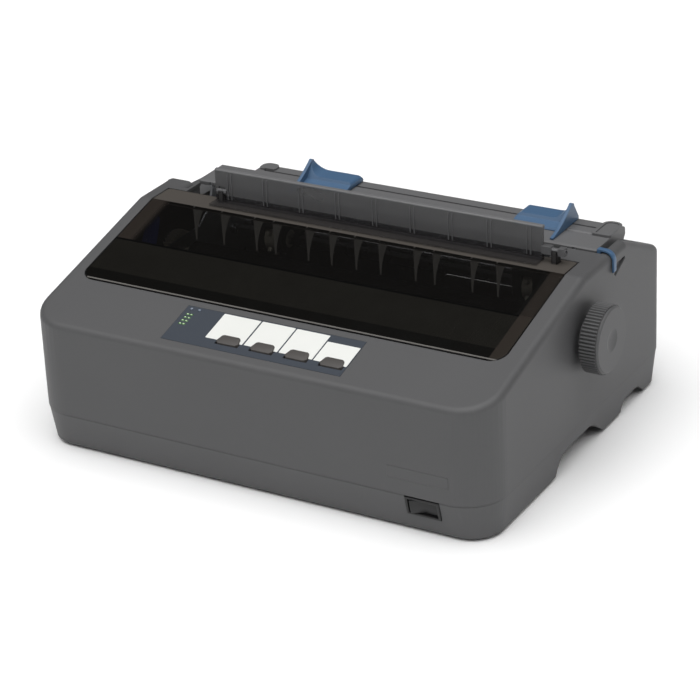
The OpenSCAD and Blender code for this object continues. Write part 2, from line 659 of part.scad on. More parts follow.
// The tooth angle that puts gear b in mesh with gear a, whose tooth is at angle pa, across direction d
function mesh(pa, na, nb, d) = d + 180 + 180 / nb - (pa - d) * na / nb;

gear_x = frame_left - 3 - gear_w;
platen_c = [platen_y, platen_z];
tractor_c = [tractor_y, tractor_z];
reduction_d = -80;
reduction_c = platen_c + polar(gear_m * (platen_teeth + reduction_teeth) / 2, reduction_d);
pinion_c = reduction_c + polar(gear_m * (reduction_teeth + pinion_teeth) / 2, 0);
span = norm(tractor_c - platen_c);
reach_a = gear_m * (platen_teeth + idler_teeth) / 2;
reach_b = gear_m * (idler_teeth + tractor_teeth) / 2;
line_d = atan2(tractor_c.y - platen_c.y, tractor_c.x - platen_c.x);
idler_d = line_d - acos(min(1, (pow(reach_a, 2) + pow(span, 2) - pow(reach_b, 2)) / (2 * reach_a * span)));
idler_c = platen_c + polar(reach_a, idler_d);
tractor_d = atan2(tractor_c.y - idler_c.y, tractor_c.x - idler_c.x);
reduction_a = mesh(0, platen_teeth, reduction_teeth, reduction_d);
pinion_a = mesh(reduction_a, reduction_teeth, pinion_teeth, 0);
idler_a = mesh(0, platen_teeth, idler_teeth, idler_d);
tractor_a = mesh(idler_a, idler_teeth, tractor_teeth, tractor_d);

// A gear with a web, lightening holes and a hub; c is its centre as (y, z)
module gear(c, teeth, a, bore, holes) {
    rp = gear_m * teeth / 2;
    translate([gear_x, c.x, c.y]) rotate([90, 0, 90]) difference() {
        linear_extrude(gear_w) difference() {
            gear_outline(teeth, a);
            circle(bore);
            if (holes > 0) for (i = [0:holes - 1]) translate(polar((rp + bore) / 2, i * 360 / holes)) circle((rp - bore) / 6);
        }
        if (holes > 0) for (z = [-1, gear_w - 1.5]) translate([0, 0, z]) difference() {
            cylinder(r = rp - 3.2, h = 2.5);
            translate([0, 0, -1]) cylinder(r = bore + 2.2, h = 5);
        }
    }
}

module platen_gear() color("#e6e2d6") place() gear(platen_c, platen_teeth, 0, shaft_r, 6);
module reduction_gear() color("#e6e2d6") place() gear(reduction_c, reduction_teeth, reduction_a, 3 + fit, 6);
module tractor_idler() color("#e6e2d6") place() gear(idler_c, idler_teeth, idler_a, 3 + fit, 5);
module tractor_gear() color("#e6e2d6") place() gear(tractor_c, tractor_teeth, tractor_a, 4, 6);

module feed_pinion() color(steel) place() {
    gear(pinion_c, pinion_teeth, pinion_a, 1.5, 0);
    translate([gear_x, pinion_c.x, pinion_c.y]) rotate([0, 90, 0]) cylinder(r = 1.5, h = frame_left + 5 - gear_x);
}

module feed_motor() color("#3a3b3e") place() {
    translate([frame_in0, pinion_c.x, pinion_c.y]) rotate([0, 90, 0]) difference() {
        union() {
            cylinder(r = 18, h = 22);
            translate([-21, -21, 0]) cube([42, 42, 1.2]);
            translate([0, 0, 22]) cylinder(r = 5, h = 2);
        }
        translate([0, 0, -1]) cylinder(r = 3, h = 8);
        for (s = [-1, 1]) translate([s * 18, s * 18, -1]) cylinder(r = 1.6, h = 4);
    }
}

module pressure_rollers() color("#2b2b2d") place() {
    translate([0, press_y, press_z]) rotate([0, 90, 0]) {
        translate([0, 0, frame_left - 1]) cylinder(r = 2, h = frame_x1 - frame_left + 2);
        for (x = [70:52:285]) translate([0, 0, x]) cylinder(r = press_r, h = 22);
    }
}

press_r = 5;
press_y = platen_y + (platen_r + press_r + 0.2) * sin(15);
press_z = platen_z - (platen_r + press_r + 0.2) * cos(15);

// Chute that wraps the underside of the platen, with windows for the pressure rollers
module paper_chute() color("#2f3032") place() {
    difference() {
        along_x(frame_in0 + 0.2, frame_in1 - 0.2) {
            polygon(concat(arc([platen_y, platen_z], platen_r + 3, 205, 340, 18), arc([platen_y, platen_z], platen_r + 1.4, 340, 205, 18)));
        }
        for (x = [68:52:285]) translate([x, press_y - 8, press_z - 9]) cube([26, 16, 16]);
    }
}

// ---- carriage, print head and belt ----

belt_y = 92;
belt_z = 62;
belt_h = 6;
axle_r = 1.5;            // axle of the belt's idler pulley
pulley_r = 6.4;
belt_x0 = 52;
belt_x1 = case_w - 42;
head_x = home_x;

module carriage() color("#3b3c3f") place() {
    x0 = home_x - carriage_w / 2;
    x1 = home_x + carriage_w / 2;
    difference() {
        along_x(x0, x1) union() {
            translate([rod_y, rod_z]) circle(rod_r + 4);
            // platform under the head and the arm to the front rail
            polygon([[rod_y - 6, rod_z + 7], [rod_y - 40, rod_z + 7], [rod_y - 40, rod_z + 10], [rod_y + 6, rod_z + 10], [rod_y + 6, rod_z + 4]]);
            polygon([[rod_y - 40, rod_z + 9], [rod_y - 40, 50], [rod_y - 36.4, 50], [rod_y - 36.4, rod_z + 9]]);
        }
        along_x(x0 - 1, x1 + 1) translate([rod_y, rod_z]) circle(rod_r + fit);
        // bearing only at the two ends
        along_x(x0 + 10, x1 - 10) translate([rod_y, rod_z]) circle(rod_r + 1.5);
        // cut-out in the front arm
        translate([x0 + 8, rod_y - 45, 52]) cube([carriage_w - 16, 12, 16]);
    }
    // belt clamp hanging from the platform
    difference() {
        translate([head_x - 8, belt_y + pulley_r - 4, belt_z - 1.5]) cube([16, 7.5, rod_z + 8 - belt_z + 1.5]);
        translate([head_x - 9, belt_y + pulley_r - 0.45, belt_z - 0.4]) cube([18, 2, belt_h + 0.8]);
    }
}

// Nine-pin head: finned body and a nose that points at the platen
module print_head() color("#6d6f73") place() {
    translate([head_x, 0, platen_z]) {
        translate([0, 90, 0]) rotate([-90, 0, 0]) cylinder(r = 10.5, h = 32);
        for (i = [0:6]) translate([0, 93 + i * 3.4, 0]) rotate([-90, 0, 0]) cylinder(r = 11.8, h = 1.6);
        translate([0, 121.9, 0]) rotate([-90, 0, 0]) cylinder(r1 = 9, r2 = 4, h = 4);
        translate([-2.2, 124, -5]) cube([4.4, 4.6, 10]);
    }
    translate([head_x - 9, 90, rod_z + 10]) cube([18, 31, platen_z - rod_z - 16]);
    translate([head_x - 13, 91, rod_z + 10]) cube([26, 28, 3]);
}

module belt_loop(r) {
    for (x = [belt_x0, belt_x1]) translate([x, belt_y]) circle(r);
    translate([belt_x0, belt_y - r]) square([belt_x1 - belt_x0, 2 * r]);
}

module drive_belt() color(black) place() {
    translate([0, 0, belt_z]) linear_extrude(belt_h) difference() {
        belt_loop(pulley_r + 1);
        belt_loop(pulley_r + 0.1);
    }
}

module pulley(x, bore) {
    translate([x, belt_y, belt_z]) difference() {
        union() {
            translate([0, 0, -0.4]) linear_extrude(belt_h + 0.8) difference() {
                circle(pulley_r);
                for (i = [0:19]) translate(polar(pulley_r + 0.2, i * 18)) circle(0.55, $fn = 16);
            }
            for (z = [-1.3, belt_h + 0.3]) translate([0, 0, z]) cylinder(r = pulley_r + 1.6, h = 1);
        }
        if (bore > 0) translate([0, 0, -3]) cylinder(r = bore, h = belt_h + 6);
    }
}

module drive_pulley() color(steel) place() {
    pulley(belt_x1, 0);
    translate([belt_x1, belt_y, 44]) cylinder(r = 1.5, h = belt_z + belt_h + 4 - 44);
}

module idler_pulley() color(steel) place() pulley(belt_x0, axle_r + fit);

module carriage_motor() color("#3a3b3e") place() {
    translate([belt_x1, belt_y, base_z + steel_t]) difference() {
        union() {
            cylinder(r = 14, h = 36);
            translate([-17, -14, 36]) cube([30.5, 28, 1.5]);
            translate([0, 0, 36]) cylinder(r = 5, h = 3.5);
        }
        translate([0, 0, 28]) cylinder(r = 1.5 + fit, h = 20);
    }
}

// ---- ribbon ----

cart_x0 = frame_in0 + 0.3;
cart_x1 = frame_in1 - 0.3;
cart_z = 86;
seat_z = 84;             // top of the side frames under the cartridge's tabs

module ribbon_cartridge() color("#232326") place() {
    difference() {
        union() {
            translate([0, 0, cart_z]) linear_extrude(13) plan_rect(cart_x0, 62, cart_x1, 88, 4, 2);
            for (x = [cart_x0, cart_x1 - 9]) translate([x, 84, cart_z]) cube([9, 44, 11]);
            // tabs that rest on the side frames
            for (x = [frame_left - 1, frame_in1 - 0.8]) translate([x, 94, seat_z + 0.3]) cube([steel_t + 1.8, 10, cart_z - seat_z + 2]);
        }
        // gullet for the ribbon at each arm tip
        for (x = [cart_x0 + 3, cart_x1 - 6]) translate([x, 116, cart_z - 1]) cube([3, 14, 13]);
        translate([knob_cx, 76, cart_z + 11]) cylinder(r = 11, h = 4);
        translate([knob_cx, 76, cart_z + 4]) cylinder(r = 3 + fit, h = 12);
        for (i = [0:5]) translate([cart_x0 + 90 + 26 * i, 68, cart_z + 12]) cube([14, 12, 2]);
    }
}

knob_cx = cart_x0 + 40;

module ribbon_knob() color("#34363a") place() {
    translate([knob_cx, 76, cart_z + 4.4]) {
        cylinder(r = 3, h = 8);
        translate([0, 0, 7]) linear_extrude(5) difference() {
            circle(10);
            for (i = [0:11]) translate(polar(10.8, i * 30)) circle(1.8, $fn = 24);
        }
        translate([-1.2, -8, 11]) cube([2.4, 16, 2.4]);
    }
}

module ribbon() color("#0f0f10") place() {
    translate([0, 0, cart_z - 3.6]) linear_extrude(12.7) {
        translate([cart_x0 + 4.3, 129.6]) square([cart_x1 - cart_x0 - 8.6, 0.4]);
        for (x = [cart_x0 + 4.3, cart_x1 - 4.7]) translate([x, 118]) square([0.4, 12]);
    }
}

// ---- tractors ----

support_c = [tractor_y + 18, tractor_z - 2];
gate_z = tractor_z + 15.4;

module tractor_drive_shaft() color(steel) place() {
    translate([frame_left + 4, tractor_y - square_w / 2, tractor_z - square_w / 2])
        cube([frame_x1 - frame_left - 8, square_w, square_w]);
    for (x = [gear_x, frame_x1 - 6]) translate([x, tractor_y, tractor_z]) rotate([0, 90, 0])
        cylinder(r = x < 100 ? 4 : 3, h = x < 100 ? frame_left + 6 - gear_x : 8);
}

module tractor_support_shaft() color(steel) place() {
    translate([frame_left - 1, support_c.x, support_c.y]) rotate([0, 90, 0]) cylinder(r = 3, h = frame_x1 - frame_left + 2);
}

// A tractor's body, open in the middle for the sprocket; x is its left face, s tells the gate's side
module tractor_body(x, s) {
    // lugs of the gate's hinge
    translate([s > 0 ? x : x + tractor_w, 0, 0]) mirror([s > 0 ? 0 : 1, 0, 0])
        for (y = [gate_y0 - 2.9, gate_y1 + 0.3]) difference() {
            translate([-3.4, y, gate_z - 5]) cube([5, 2.6, 7.6]);
            translate([-1.6, y - 1, gate_z + 1]) rotate([-90, 0, 0]) cylinder(r = 1.2 + fit, h = 5);
        }
    difference() {
        along_x(x, x + tractor_w) union() {
            translate(tractor_c) circle(11.4);
            translate(support_c) circle(8);
            polygon([[tractor_y - 11.4, tractor_z], [tractor_y - 11.4, tractor_z + 15], [tractor_y + 20, tractor_z + 15],
                [support_c.x + 7.9, support_c.y + 1], [support_c.x, support_c.y - 7.9], [tractor_y, tractor_z - 11.3]]);
        }
        along_x(x + 6.6, x + tractor_w - 6.6) translate(tractor_c) circle(15.5);
        along_x(x - 1, x + tractor_w + 1) translate(tractor_c) circle(hub_r + fit);
        along_x(x - 1, x + tractor_w + 1) translate(support_c) circle(3 + fit);
    }
}

hub_r = 6.5;
gate_y0 = tractor_y - 8;
gate_y1 = tractor_y + 11;

// A sprocket with pins at the half-inch pitch of continuous paper
module sprocket(x) {
    difference() {
        translate([x, tractor_y, tractor_z]) rotate([0, 90, 0]) {
            cylinder(r = hub_r, h = tractor_w);
            translate([0, 0, 7]) cylinder(r = 11.4, h = tractor_w - 14);
            for (i = [0:5]) rotate([0, 0, i * 60]) translate([11, 0, tractor_w / 2]) rotate([0, 90, 0])
                cylinder(r1 = 1.9, r2 = 1, h = 3.4, $fn = 24);
        }
        translate([x - 1, tractor_y - square_w / 2 - fit, tractor_z - square_w / 2 - fit])
            cube([tractor_w + 2, square_w + 2 * fit, square_w + 2 * fit]);
    }
}

// Paper gate over the sprocket, with a slot for the pins; it hinges on the side given by s
module gate(x, s) {
    translate([s > 0 ? x : x + tractor_w, 0, 0]) mirror([s > 0 ? 0 : 1, 0, 0]) {
        difference() {
            translate([-1, gate_y0, gate_z]) cube([tractor_w - 2, gate_y1 - gate_y0, 2]);
            translate([7, tractor_y - 6, gate_z - 1]) cube([tractor_w - 14, 12, 4]);
        }
        translate([-1.6, gate_y0 - 2.6, gate_z + 1]) rotate([-90, 0, 0]) cylinder(r = 1.2, h = gate_y1 - gate_y0 + 5.2);
    }
}

// Blue lock lever on the outer face of a tractor
module lock_lever(x, s) {
    translate([s > 0 ? x - 3.4 : x + tractor_w + 0.4, 0, 0]) difference() {
        along_x(0, 3) union() {
            translate(support_c) circle(6);
            polygon([[support_c.x - 4, support_c.y + 4.4], [support_c.x - 1, support_c.y + 14], [support_c.x + 4, support_c.y + 14],
                [support_c.x + 4.4, support_c.y + 4]]);
        }
        along_x(-1, 5) translate(support_c) circle(3 + fit);
    }
}

module tractor_left() color("#2f3032") place() tractor_body(tractor_left_x, 1);
module tractor_right() color("#2f3032") place() tractor_body(tractor_right_x - tractor_w, -1);
module sprocket_left() color("#d9d5c9") place() sprocket(tractor_left_x);
module sprocket_right() color("#d9d5c9") place() sprocket(tractor_right_x - tractor_w);
module gate_left() color("#2f3032") place() gate(tractor_left_x, 1);
module gate_right() color("#2f3032") place() gate(tractor_right_x - tractor_w, -1);
module lock_lever_left() color(part_blue) place() lock_lever(tractor_left_x, 1);
module lock_lever_right() color(part_blue) place() lock_lever(tractor_right_x - tractor_w, -1);

// ---- control panel ----

panel_y = 9.5;
panel_d = 36.4;
button_y = 19.5;

module control_overlay() color("#4a5563") place() {
    difference() {
        on_deck(panel_x, panel_y) translate([0, 0.2, -0.35]) cube([panel_w, panel_d - 0.4, 0.35]);
        for (i = [0:3]) on_deck(panel_x + button_x + i * button_pitch, button_y)
            translate([-button_w / 2 - 0.3, -button_d / 2 - 0.3, -2]) cube([button_w + 0.6, button_d + 0.6, 4]);
    }
}

module panel_board() color("#2f6b45") place() {
    on_deck(panel_x, panel_y) {
        translate([2, 2, -9.5]) cube([panel_w - 4, panel_d - 4, 1.6]);
        for (i = [0:3]) translate([button_x + i * button_pitch - 3, (button_y - panel_y) / cos(slope) - 3, -8]) cube([6, 6, 2]);
        for (x = [14, 22]) translate([x, panel_d - 5, -8]) cylinder(r = 1.5, h = 4.6);
        for (p = [[4, 4], [34, 4], [4, panel_d - 6], [panel_w - 6, panel_d - 6]]) translate([p.x, p.y, -8]) cylinder(r = 2, h = 5.2);
    }
}

// One button: rounded cap, flange under the skin, stem down to its switch
module panel_button(i) {
    on_deck(panel_x + button_x + i * button_pitch, button_y) {
        translate([0, 0, -3]) linear_extrude(4.2) polygon([[-button_w / 2, -button_d / 2 + 2], [-button_w / 2 + 2, -button_d / 2],
            [button_w / 2 - 2, -button_d / 2], [button_w / 2, -button_d / 2 + 2], [button_w / 2 - 1.5, button_d / 2 - 1],
            [button_w / 2 - 3, button_d / 2], [-button_w / 2 + 3, button_d / 2], [-button_w / 2 + 1.5, button_d / 2 - 1]]);
        translate([-button_w / 2 - 1, -button_d / 2 - 1, -4]) cube([button_w + 2, button_d + 2, 1.2]);
        translate([-2, -2, -5]) cube([4, 4, 2]);
    }
}

module button_1() color("#3a3b3d") place() panel_button(0);
module button_2() color("#3a3b3d") place() panel_button(1);
module button_3() color("#3a3b3d") place() panel_button(2);
module button_4() color("#3a3b3d") place() panel_button(3);

// ---- power switch, on the leaning front of the lower case ----

switch_z = split_z - switch_h / 2 - 2.2;
lean = atan(base_inset / (split_z - foot_h));

module switch_frame() {
    translate([switch_x, base_inset * (split_z - switch_z) / (split_z - foot_h), switch_z]) rotate([lean, 0, 0]) children();
}

module switch_bezel() color(black) place() {
    switch_frame() difference() {
        translate([-switch_w / 2 - 1.8, -0.4, -switch_h / 2 - 1.5]) cube([switch_w + 3.6, 14, switch_h + 3]);
        translate([-switch_w / 2, -2, -switch_h / 2]) cube([switch_w, 12, switch_h]);
        translate([0, 5, -switch_h / 2 - 1.2]) cylinder(r = 1 + fit, h = switch_h + 2.4);
    }
}

module power_rocker() color(black) place() {
    switch_frame() {
        translate([0, 5, -switch_h / 2 + 0.4]) rotate([0, 0, 7]) linear_extrude(switch_h - 0.8)
            polygon([[-switch_w / 2 + 1, -5.2], [0, -3.6], [switch_w / 2 - 1, -5.2], [switch_w / 2 - 1.2, -1.6], [3, 3.4],
                [-3, 3.4], [-switch_w / 2 + 1.2, -1.6]]);
        translate([0, 5, -switch_h / 2 - 1]) cylinder(r = 1, h = switch_h + 2);
    }
}

// ---- frame and electronics ----

module base_frame() color(steel) place() {
    difference() {
        union() {
            translate([frame_left, 60, base_z]) cube([frame_x1 - frame_left, case_d - 95, steel_t]);
            // upturned front flange, the rail on which the carriage rests
            translate([frame_left + 2, rod_y - 36, base_z]) cube([frame_x1 - frame_left - 4, steel_t, 50]);
            // post and axle of the belt's idler pulley
            translate([belt_x0, belt_y, base_z]) cylinder(r = 4, h = belt_z - 1.6 - base_z);
            translate([belt_x0, belt_y, base_z]) cylinder(r = axle_r, h = belt_z + belt_h + 2 - base_z);
        }
        for (i = [0:4]) translate([frame_left + 40 + 48 * i, 130, base_z - 1]) cube([30, 22, steel_t + 2]);
        for (i = [0:4]) translate([frame_left + 30 + 48 * i, rod_y - 37, base_z + 12]) cube([32, 4, 20]);
        for (p = screw_places) translate([p.x, p.y, base_z - 1]) cylinder(r = 1.8, h = 5);
    }
}

// Side profile of the frame, with ears for the paper guide's hinge
module frame_profile() {
    polygon([[62, base_z + steel_t], [62, 70], [90, seat_z], [120, seat_z], [122, 104], [165, 104], [180, 114],
        [pivot_y - 1.7, pivot_z - 1], [pivot_y + 1.7, pivot_z - 1], [pivot_y + 4, 120], [200, 112], [240, 108],
        [240, base_z + steel_t]]);
    translate([pivot_y, pivot_z]) circle(1.75);
}

module side_plate(x, platen_hole) {
    along_x(x, x + steel_t) difference() {
        frame_profile();
        translate(platen_c) circle(platen_hole);
        translate([rod_y, rod_z]) circle(rod_r + fit);
        translate([press_y, press_z]) circle(2 + fit);
        translate(tractor_c) circle((x < 100 ? 4 : 3) + fit);
        translate(support_c) circle(3);
        translate([pivot_y, pivot_z]) circle(1 + fit);
        translate([195, 35]) square([30, 30]);
    }
}

module side_frame_left() color(steel) place() {
    difference() {
        side_plate(frame_left, 7);
        translate([frame_left - 1, pinion_c.x, pinion_c.y]) rotate([0, 90, 0]) cylinder(r = 3, h = 5);
    }
    // stub axles of the reduction gear and the tractor idler, with their heads
    for (c = [reduction_c, idler_c]) translate([gear_x - 0.4, c.x, c.y]) rotate([0, 90, 0]) {
        cylinder(r = 3, h = frame_left + 0.2 - gear_x + 0.4);
        translate([0, 0, -1]) cylinder(r = 4.4, h = 1);
    }
}

module side_frame_right() color(steel) place() {
    side_plate(frame_in1, 7);
    translate([frame_x1 - 0.2, lever_pivot.x, lever_pivot.y]) rotate([0, 90, 0]) cylinder(r = 2.5, h = lever_x + 1 - frame_x1);
}

port_places = [[176, 34, 66, 14], [254, 34, 31, 12], [298, 34, 12, 12]];
inlet_x = 52;
inlet_z = 36;
inlet_w = 28;
inlet_h = 21;

module main_board() color("#2f6b45") place() {
    difference() {
        translate([150, 168, 30]) cube([168, 92, 1.6]);
        for (x = [156, 312], y = [174, 232]) translate([x, y, 29]) cylinder(r = 1.6, h = 4);
    }
    // ports for parallel, serial and universal bus plugs
    for (p = port_places) difference() {
        translate([p[0], 252, 31.6]) cube([p[2], case_d - 252.6, p[3] + 2]);
        translate([p[0] + 2, 262, 34 + 1.6]) cube([p[2] - 4, 20, p[3] - 4]);
    }
    for (x = [156, 312], y = [174, 232]) translate([x, y, base_z + steel_t]) cylinder(r = 3, h = 30 - base_z - steel_t);
    translate([190, 190, 31.6]) cube([26, 26, 3]);
    translate([232, 186, 31.6]) cube([14, 34, 3]);
    for (i = [0:3]) translate([262 + 11 * i, 192, 31.6]) cylinder(r = 4, h = 12);
}

module power_supply() color("#6f7276") place() {
    translate([42, 206, base_z + steel_t]) cube([92, 34, 1.6]);
    // transformer, heat sink and capacitors
    translate([50, 209, base_z + steel_t + 1.6]) cube([34, 28, 26]);
    translate([92, 208, base_z + steel_t + 1.6]) cube([3, 30, 28]);
    for (y = [214, 230]) translate([108, y, base_z + steel_t + 1.6]) cylinder(r = 7, h = 26);
}

module mains_inlet() color(black) place() {
    difference() {
        union() {
            translate([inlet_x, case_d - 22, inlet_z]) cube([inlet_w, 21.8, inlet_h]);
            translate([inlet_x - 2, case_d - wall - 2.2, inlet_z - 2]) cube([inlet_w + 4, 1.6, inlet_h + 4]);
        }
        translate([inlet_x + 2, case_d - 17, inlet_z + 2]) cube([inlet_w - 4, 20, inlet_h - 4]);
    }
    for (p = [[0.27, 0.4], [0.5, 0.62], [0.73, 0.4]]) translate([inlet_x + inlet_w * p.x - 1, case_d - 18, inlet_z + inlet_h * p.y - 2])
        cube([2, 10, 4]);
}

module head_cable() color("#d8d9db") place() {
    translate([222, 120, base_z + steel_t + 0.2]) cube([22, 50, 0.5]);
    translate([222, 169.5, base_z + steel_t + 0.2]) cube([22, 0.5, 16]);
}

module frame_screws() color(steel) place() {
    for (p = screw_places) translate([p.x, p.y, 0]) {
        translate([0, 0, base_z - 6]) cylinder(r = 1.5, h = 7 + steel_t);
        translate([0, 0, base_z + steel_t]) cylinder(r = 3.5, h = 1.8);
    }
}

lower_case();
upper_case();
rubber_feet();
printer_cover();
cover_ribs();
sound_shield();
paper_separator();
paper_guide();
edge_guide_left();
edge_guide_right();
release_lever();
thickness_lever();
carriage_shaft();
feed_knob();
platen_core();
platen_roller();
platen_bushes();
platen_gear();
reduction_gear();
tractor_idler();
tractor_gear();
feed_motor();
feed_pinion();
pressure_rollers();
paper_chute();
carriage();
print_head();
carriage_motor();
drive_pulley();
idler_pulley();
drive_belt();
ribbon_cartridge();
ribbon();
ribbon_knob();
tractor_drive_shaft();
tractor_support_shaft();
tractor_left();
tractor_right();
sprocket_left();
sprocket_right();
gate_left();
gate_right();
lock_lever_left();
lock_lever_right();
control_overlay();
panel_board();
button_1();
button_2();
button_3();
button_4();
switch_bezel();
power_rocker();
base_frame();
side_frame_left();
side_frame_right();
main_board();
power_supply();
mains_inlet();
head_cable();
frame_screws();
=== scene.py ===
import math

import bmesh
import bpy
from mathutils import Matrix, Vector


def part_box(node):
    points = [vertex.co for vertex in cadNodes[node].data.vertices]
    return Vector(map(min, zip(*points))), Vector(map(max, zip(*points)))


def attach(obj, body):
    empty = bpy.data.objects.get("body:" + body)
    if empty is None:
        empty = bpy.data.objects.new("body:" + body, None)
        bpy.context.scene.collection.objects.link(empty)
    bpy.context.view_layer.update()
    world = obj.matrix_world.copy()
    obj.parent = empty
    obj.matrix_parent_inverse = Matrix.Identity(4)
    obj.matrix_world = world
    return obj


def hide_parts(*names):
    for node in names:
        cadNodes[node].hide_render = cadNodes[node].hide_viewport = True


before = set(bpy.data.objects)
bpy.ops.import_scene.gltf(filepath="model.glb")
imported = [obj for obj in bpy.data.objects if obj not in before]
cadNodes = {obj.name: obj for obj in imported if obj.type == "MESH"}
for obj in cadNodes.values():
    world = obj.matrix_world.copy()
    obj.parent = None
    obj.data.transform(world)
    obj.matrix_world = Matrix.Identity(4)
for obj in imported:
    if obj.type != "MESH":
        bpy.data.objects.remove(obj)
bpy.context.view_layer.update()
print("frame loaded:", len(cadNodes), "nodes")


# the shared frame's middle, in millimetres from the front left corner of the case
middle = {"x": 183.0, "y": 137.5}


def at(x, y, z):
    # a place given in millimetres from the front left corner of the case
    return Vector(((x - middle["x"]) / 1000, (y - middle["y"]) / 1000, z / 1000))


def tone(red, green, blue):
    # a colour as it looks on screen, made linear
    parts = [c / 255 for c in (red, green, blue)]
    return tuple(c / 12.92 if c <= 0.04045 else ((c + 0.055) / 1.055) ** 2.4 for c in parts) + (1.0,)


def shaded(colour, factor, lift=0.0):
    return tuple(min(1, c * factor + lift) for c in colour[:3]) + (1.0,)


# camera

cameraSetup = {"azimuth": 31.04, "elevation": 25.61, "roll": -2.77, "distance": 1.71497,
               "target": (-0.00495, -0.01006, 0.05107), "pixels": 2504.8, "frameWidth": 700,
               "sensor": 36, "farthest": 20}


def makeCamera(setup):
    a, e, r = (math.radians(setup[k]) for k in ("azimuth", "elevation", "roll"))
    back = Vector((math.sin(a) * math.cos(e), -math.cos(a) * math.cos(e), math.sin(e)))
    right = Vector((math.cos(a), math.sin(a), 0))
    up = back.cross(right)
    rolledRight = right * math.cos(r) + up * math.sin(r)
    rolledUp = up * math.cos(r) - right * math.sin(r)
    data = bpy.data.cameras.new("camera")
    data.sensor_width = setup["sensor"]
    data.lens = setup["sensor"] * setup["pixels"] / setup["frameWidth"]
    data.clip_end = setup["farthest"]
    camera = bpy.data.objects.new("camera", data)
    turn = Matrix((rolledRight, rolledUp, back)).transposed()
    place = Vector(setup["target"]) + back * setup["distance"]
    camera.matrix_world = Matrix.Translation(place) @ turn.to_4x4()
    bpy.context.scene.collection.objects.link(camera)
    bpy.context.scene.camera = camera


makeCamera(cameraSetup)
bpy.context.scene.view_settings.view_transform = "Standard"

# shader building


class Value:
    def __init__(self, tree, socket):
        self.tree = tree
        self.socket = socket

    def sum(self, operation, other=0.0, swapped=False):
        node = self.tree.nodes.new("ShaderNodeMath")
        node.operation = operation
        pair = (other, self) if swapped else (self, other)
        for socket, value in zip(node.inputs, pair):
            plug(self.tree, socket, value)
        return Value(self.tree, node.outputs[0])

    def __add__(self, other):
        return self.sum("ADD", other)

    def __sub__(self, other):
        return self.sum("SUBTRACT", other)

    def __rsub__(self, other):
        return self.sum("SUBTRACT", other, swapped=True)

    def __mul__(self, other):
        return self.sum("MULTIPLY", other)



def plug(tree, socket, value):
    if isinstance(value, Value):
        tree.links.new(value.socket, socket)
    else:
        socket.default_value = value


# how far round an edge the rubbing reaches, and the patches it comes in
rubbing = {"edge": (0.03, 0.35), "patchScale": 90, "patchDetail": 3, "patches": (0.35, 0.7)}


class Finish:
    def __init__(self, name, constants):
        self.material = bpy.data.materials.new(name)
        self.material.use_nodes = True
        self.tree = self.material.node_tree
        self.shader = self.tree.nodes["Principled BSDF"]
        self.place = self.node("TexCoord", out="Object")
        self.put(constants)

    def node(self, kind, settings=None, inputs=None, out=0):
        node = self.tree.nodes.new("ShaderNode" + kind)
        for key, value in (settings or {}).items():
            if key == "stops":
                while len(node.color_ramp.elements) < len(value):
                    node.color_ramp.elements.new(0.5)
                for stop, (position, colour) in zip(node.color_ramp.elements, value):
                    stop.position = position
                    stop.color = colour
            else:
                setattr(node, key, value)
        for key, value in (inputs or {}).items():
            plug(self.tree, node.inputs[key], value)
        return Value(self.tree, node.outputs[out])

    def put(self, values):
        for key, value in values.items():
            plug(self.tree, self.shader.inputs[key], value)

    def noise(self, scale, detail=2.0, stretch=(1, 1, 1)):
        where = self.node("Mapping", inputs={"Vector": self.place, "Scale": stretch})
        return self.node("TexNoise", inputs={"Vector": where, "Scale": scale, "Detail": detail})

    def axis(self, letter):
        return self.node("SeparateXYZ", inputs={"Vector": self.place}, out="XYZ".index(letter))

    def mix(self, mask, first, second):
        node = self.tree.nodes.new("ShaderNodeMix")
        node.data_type = "RGBA"
        plug(self.tree, node.inputs[0], mask)
        plug(self.tree, node.inputs[6], first)
        plug(self.tree, node.inputs[7], second)
        return Value(self.tree, node.outputs[2])

    def ramp(self, value, low, high):
        return self.node("MapRange", {"interpolation_type": "SMOOTHSTEP"},
                         {"Value": value, "From Min": low, "From Max": high})

    def softNormal(self, radius):
        return self.node("Bevel", {"samples": 4}, {"Radius": radius})

    def nearEdge(self, soft, start, end):
        # the softened normal leaves the plain one where an edge is
        plain = self.node("NewGeometry", out="Normal")
        facing = self.node("VectorMath", {"operation": "DOT_PRODUCT"}, {0: soft, 1: plain}, out="Value")
        return self.ramp(1 - facing, start, end)

    def wear(self, soft):
        patches = self.ramp(self.noise(rubbing["patchScale"], rubbing["patchDetail"]), *rubbing["patches"])
        return self.nearEdge(soft, *rubbing["edge"]) * patches

    def bump(self, height, distance, strength, normal=None):
        inputs = {"Height": height, "Distance": distance, "Strength": strength}
        if normal is not None:
            inputs["Normal"] = normal
        self.put({"Normal": self.node("Bump", inputs=inputs)})


def moulded(name, colour, values):
    # moulded plastic with a spark-eroded grain, slight drifts of tone and rubbed edges, and where given a
    # painted glow in its own colour
    roughness = values.get("roughness", 0.5)
    finish = Finish(name, {"Roughness": roughness, "Specular IOR Level": values.get("specular", 0.4),
                           "Emission Color": colour, "Emission Strength": values.get("paintedGlow", 0.0)})
    grain = finish.noise(values.get("grain", 1500), 3)
    drift = finish.noise(14, 2)
    soft = finish.softNormal(values.get("edge", 0.0005))
    spread = values.get("spread", 0.06)
    body = finish.mix(grain * 0.6 + drift * 0.4, shaded(colour, 1 - spread), shaded(colour, 1 + spread))
    worn = shaded(colour, 1.35, 0.01)
    finish.put({"Base Color": finish.mix(finish.wear(soft) * values.get("wear", 0.5), body, worn),
                "Roughness": grain * 0.12 + (roughness - 0.06)})
    finish.bump(grain, 0.00006, values.get("bump", 0.35), soft)
    return finish.material


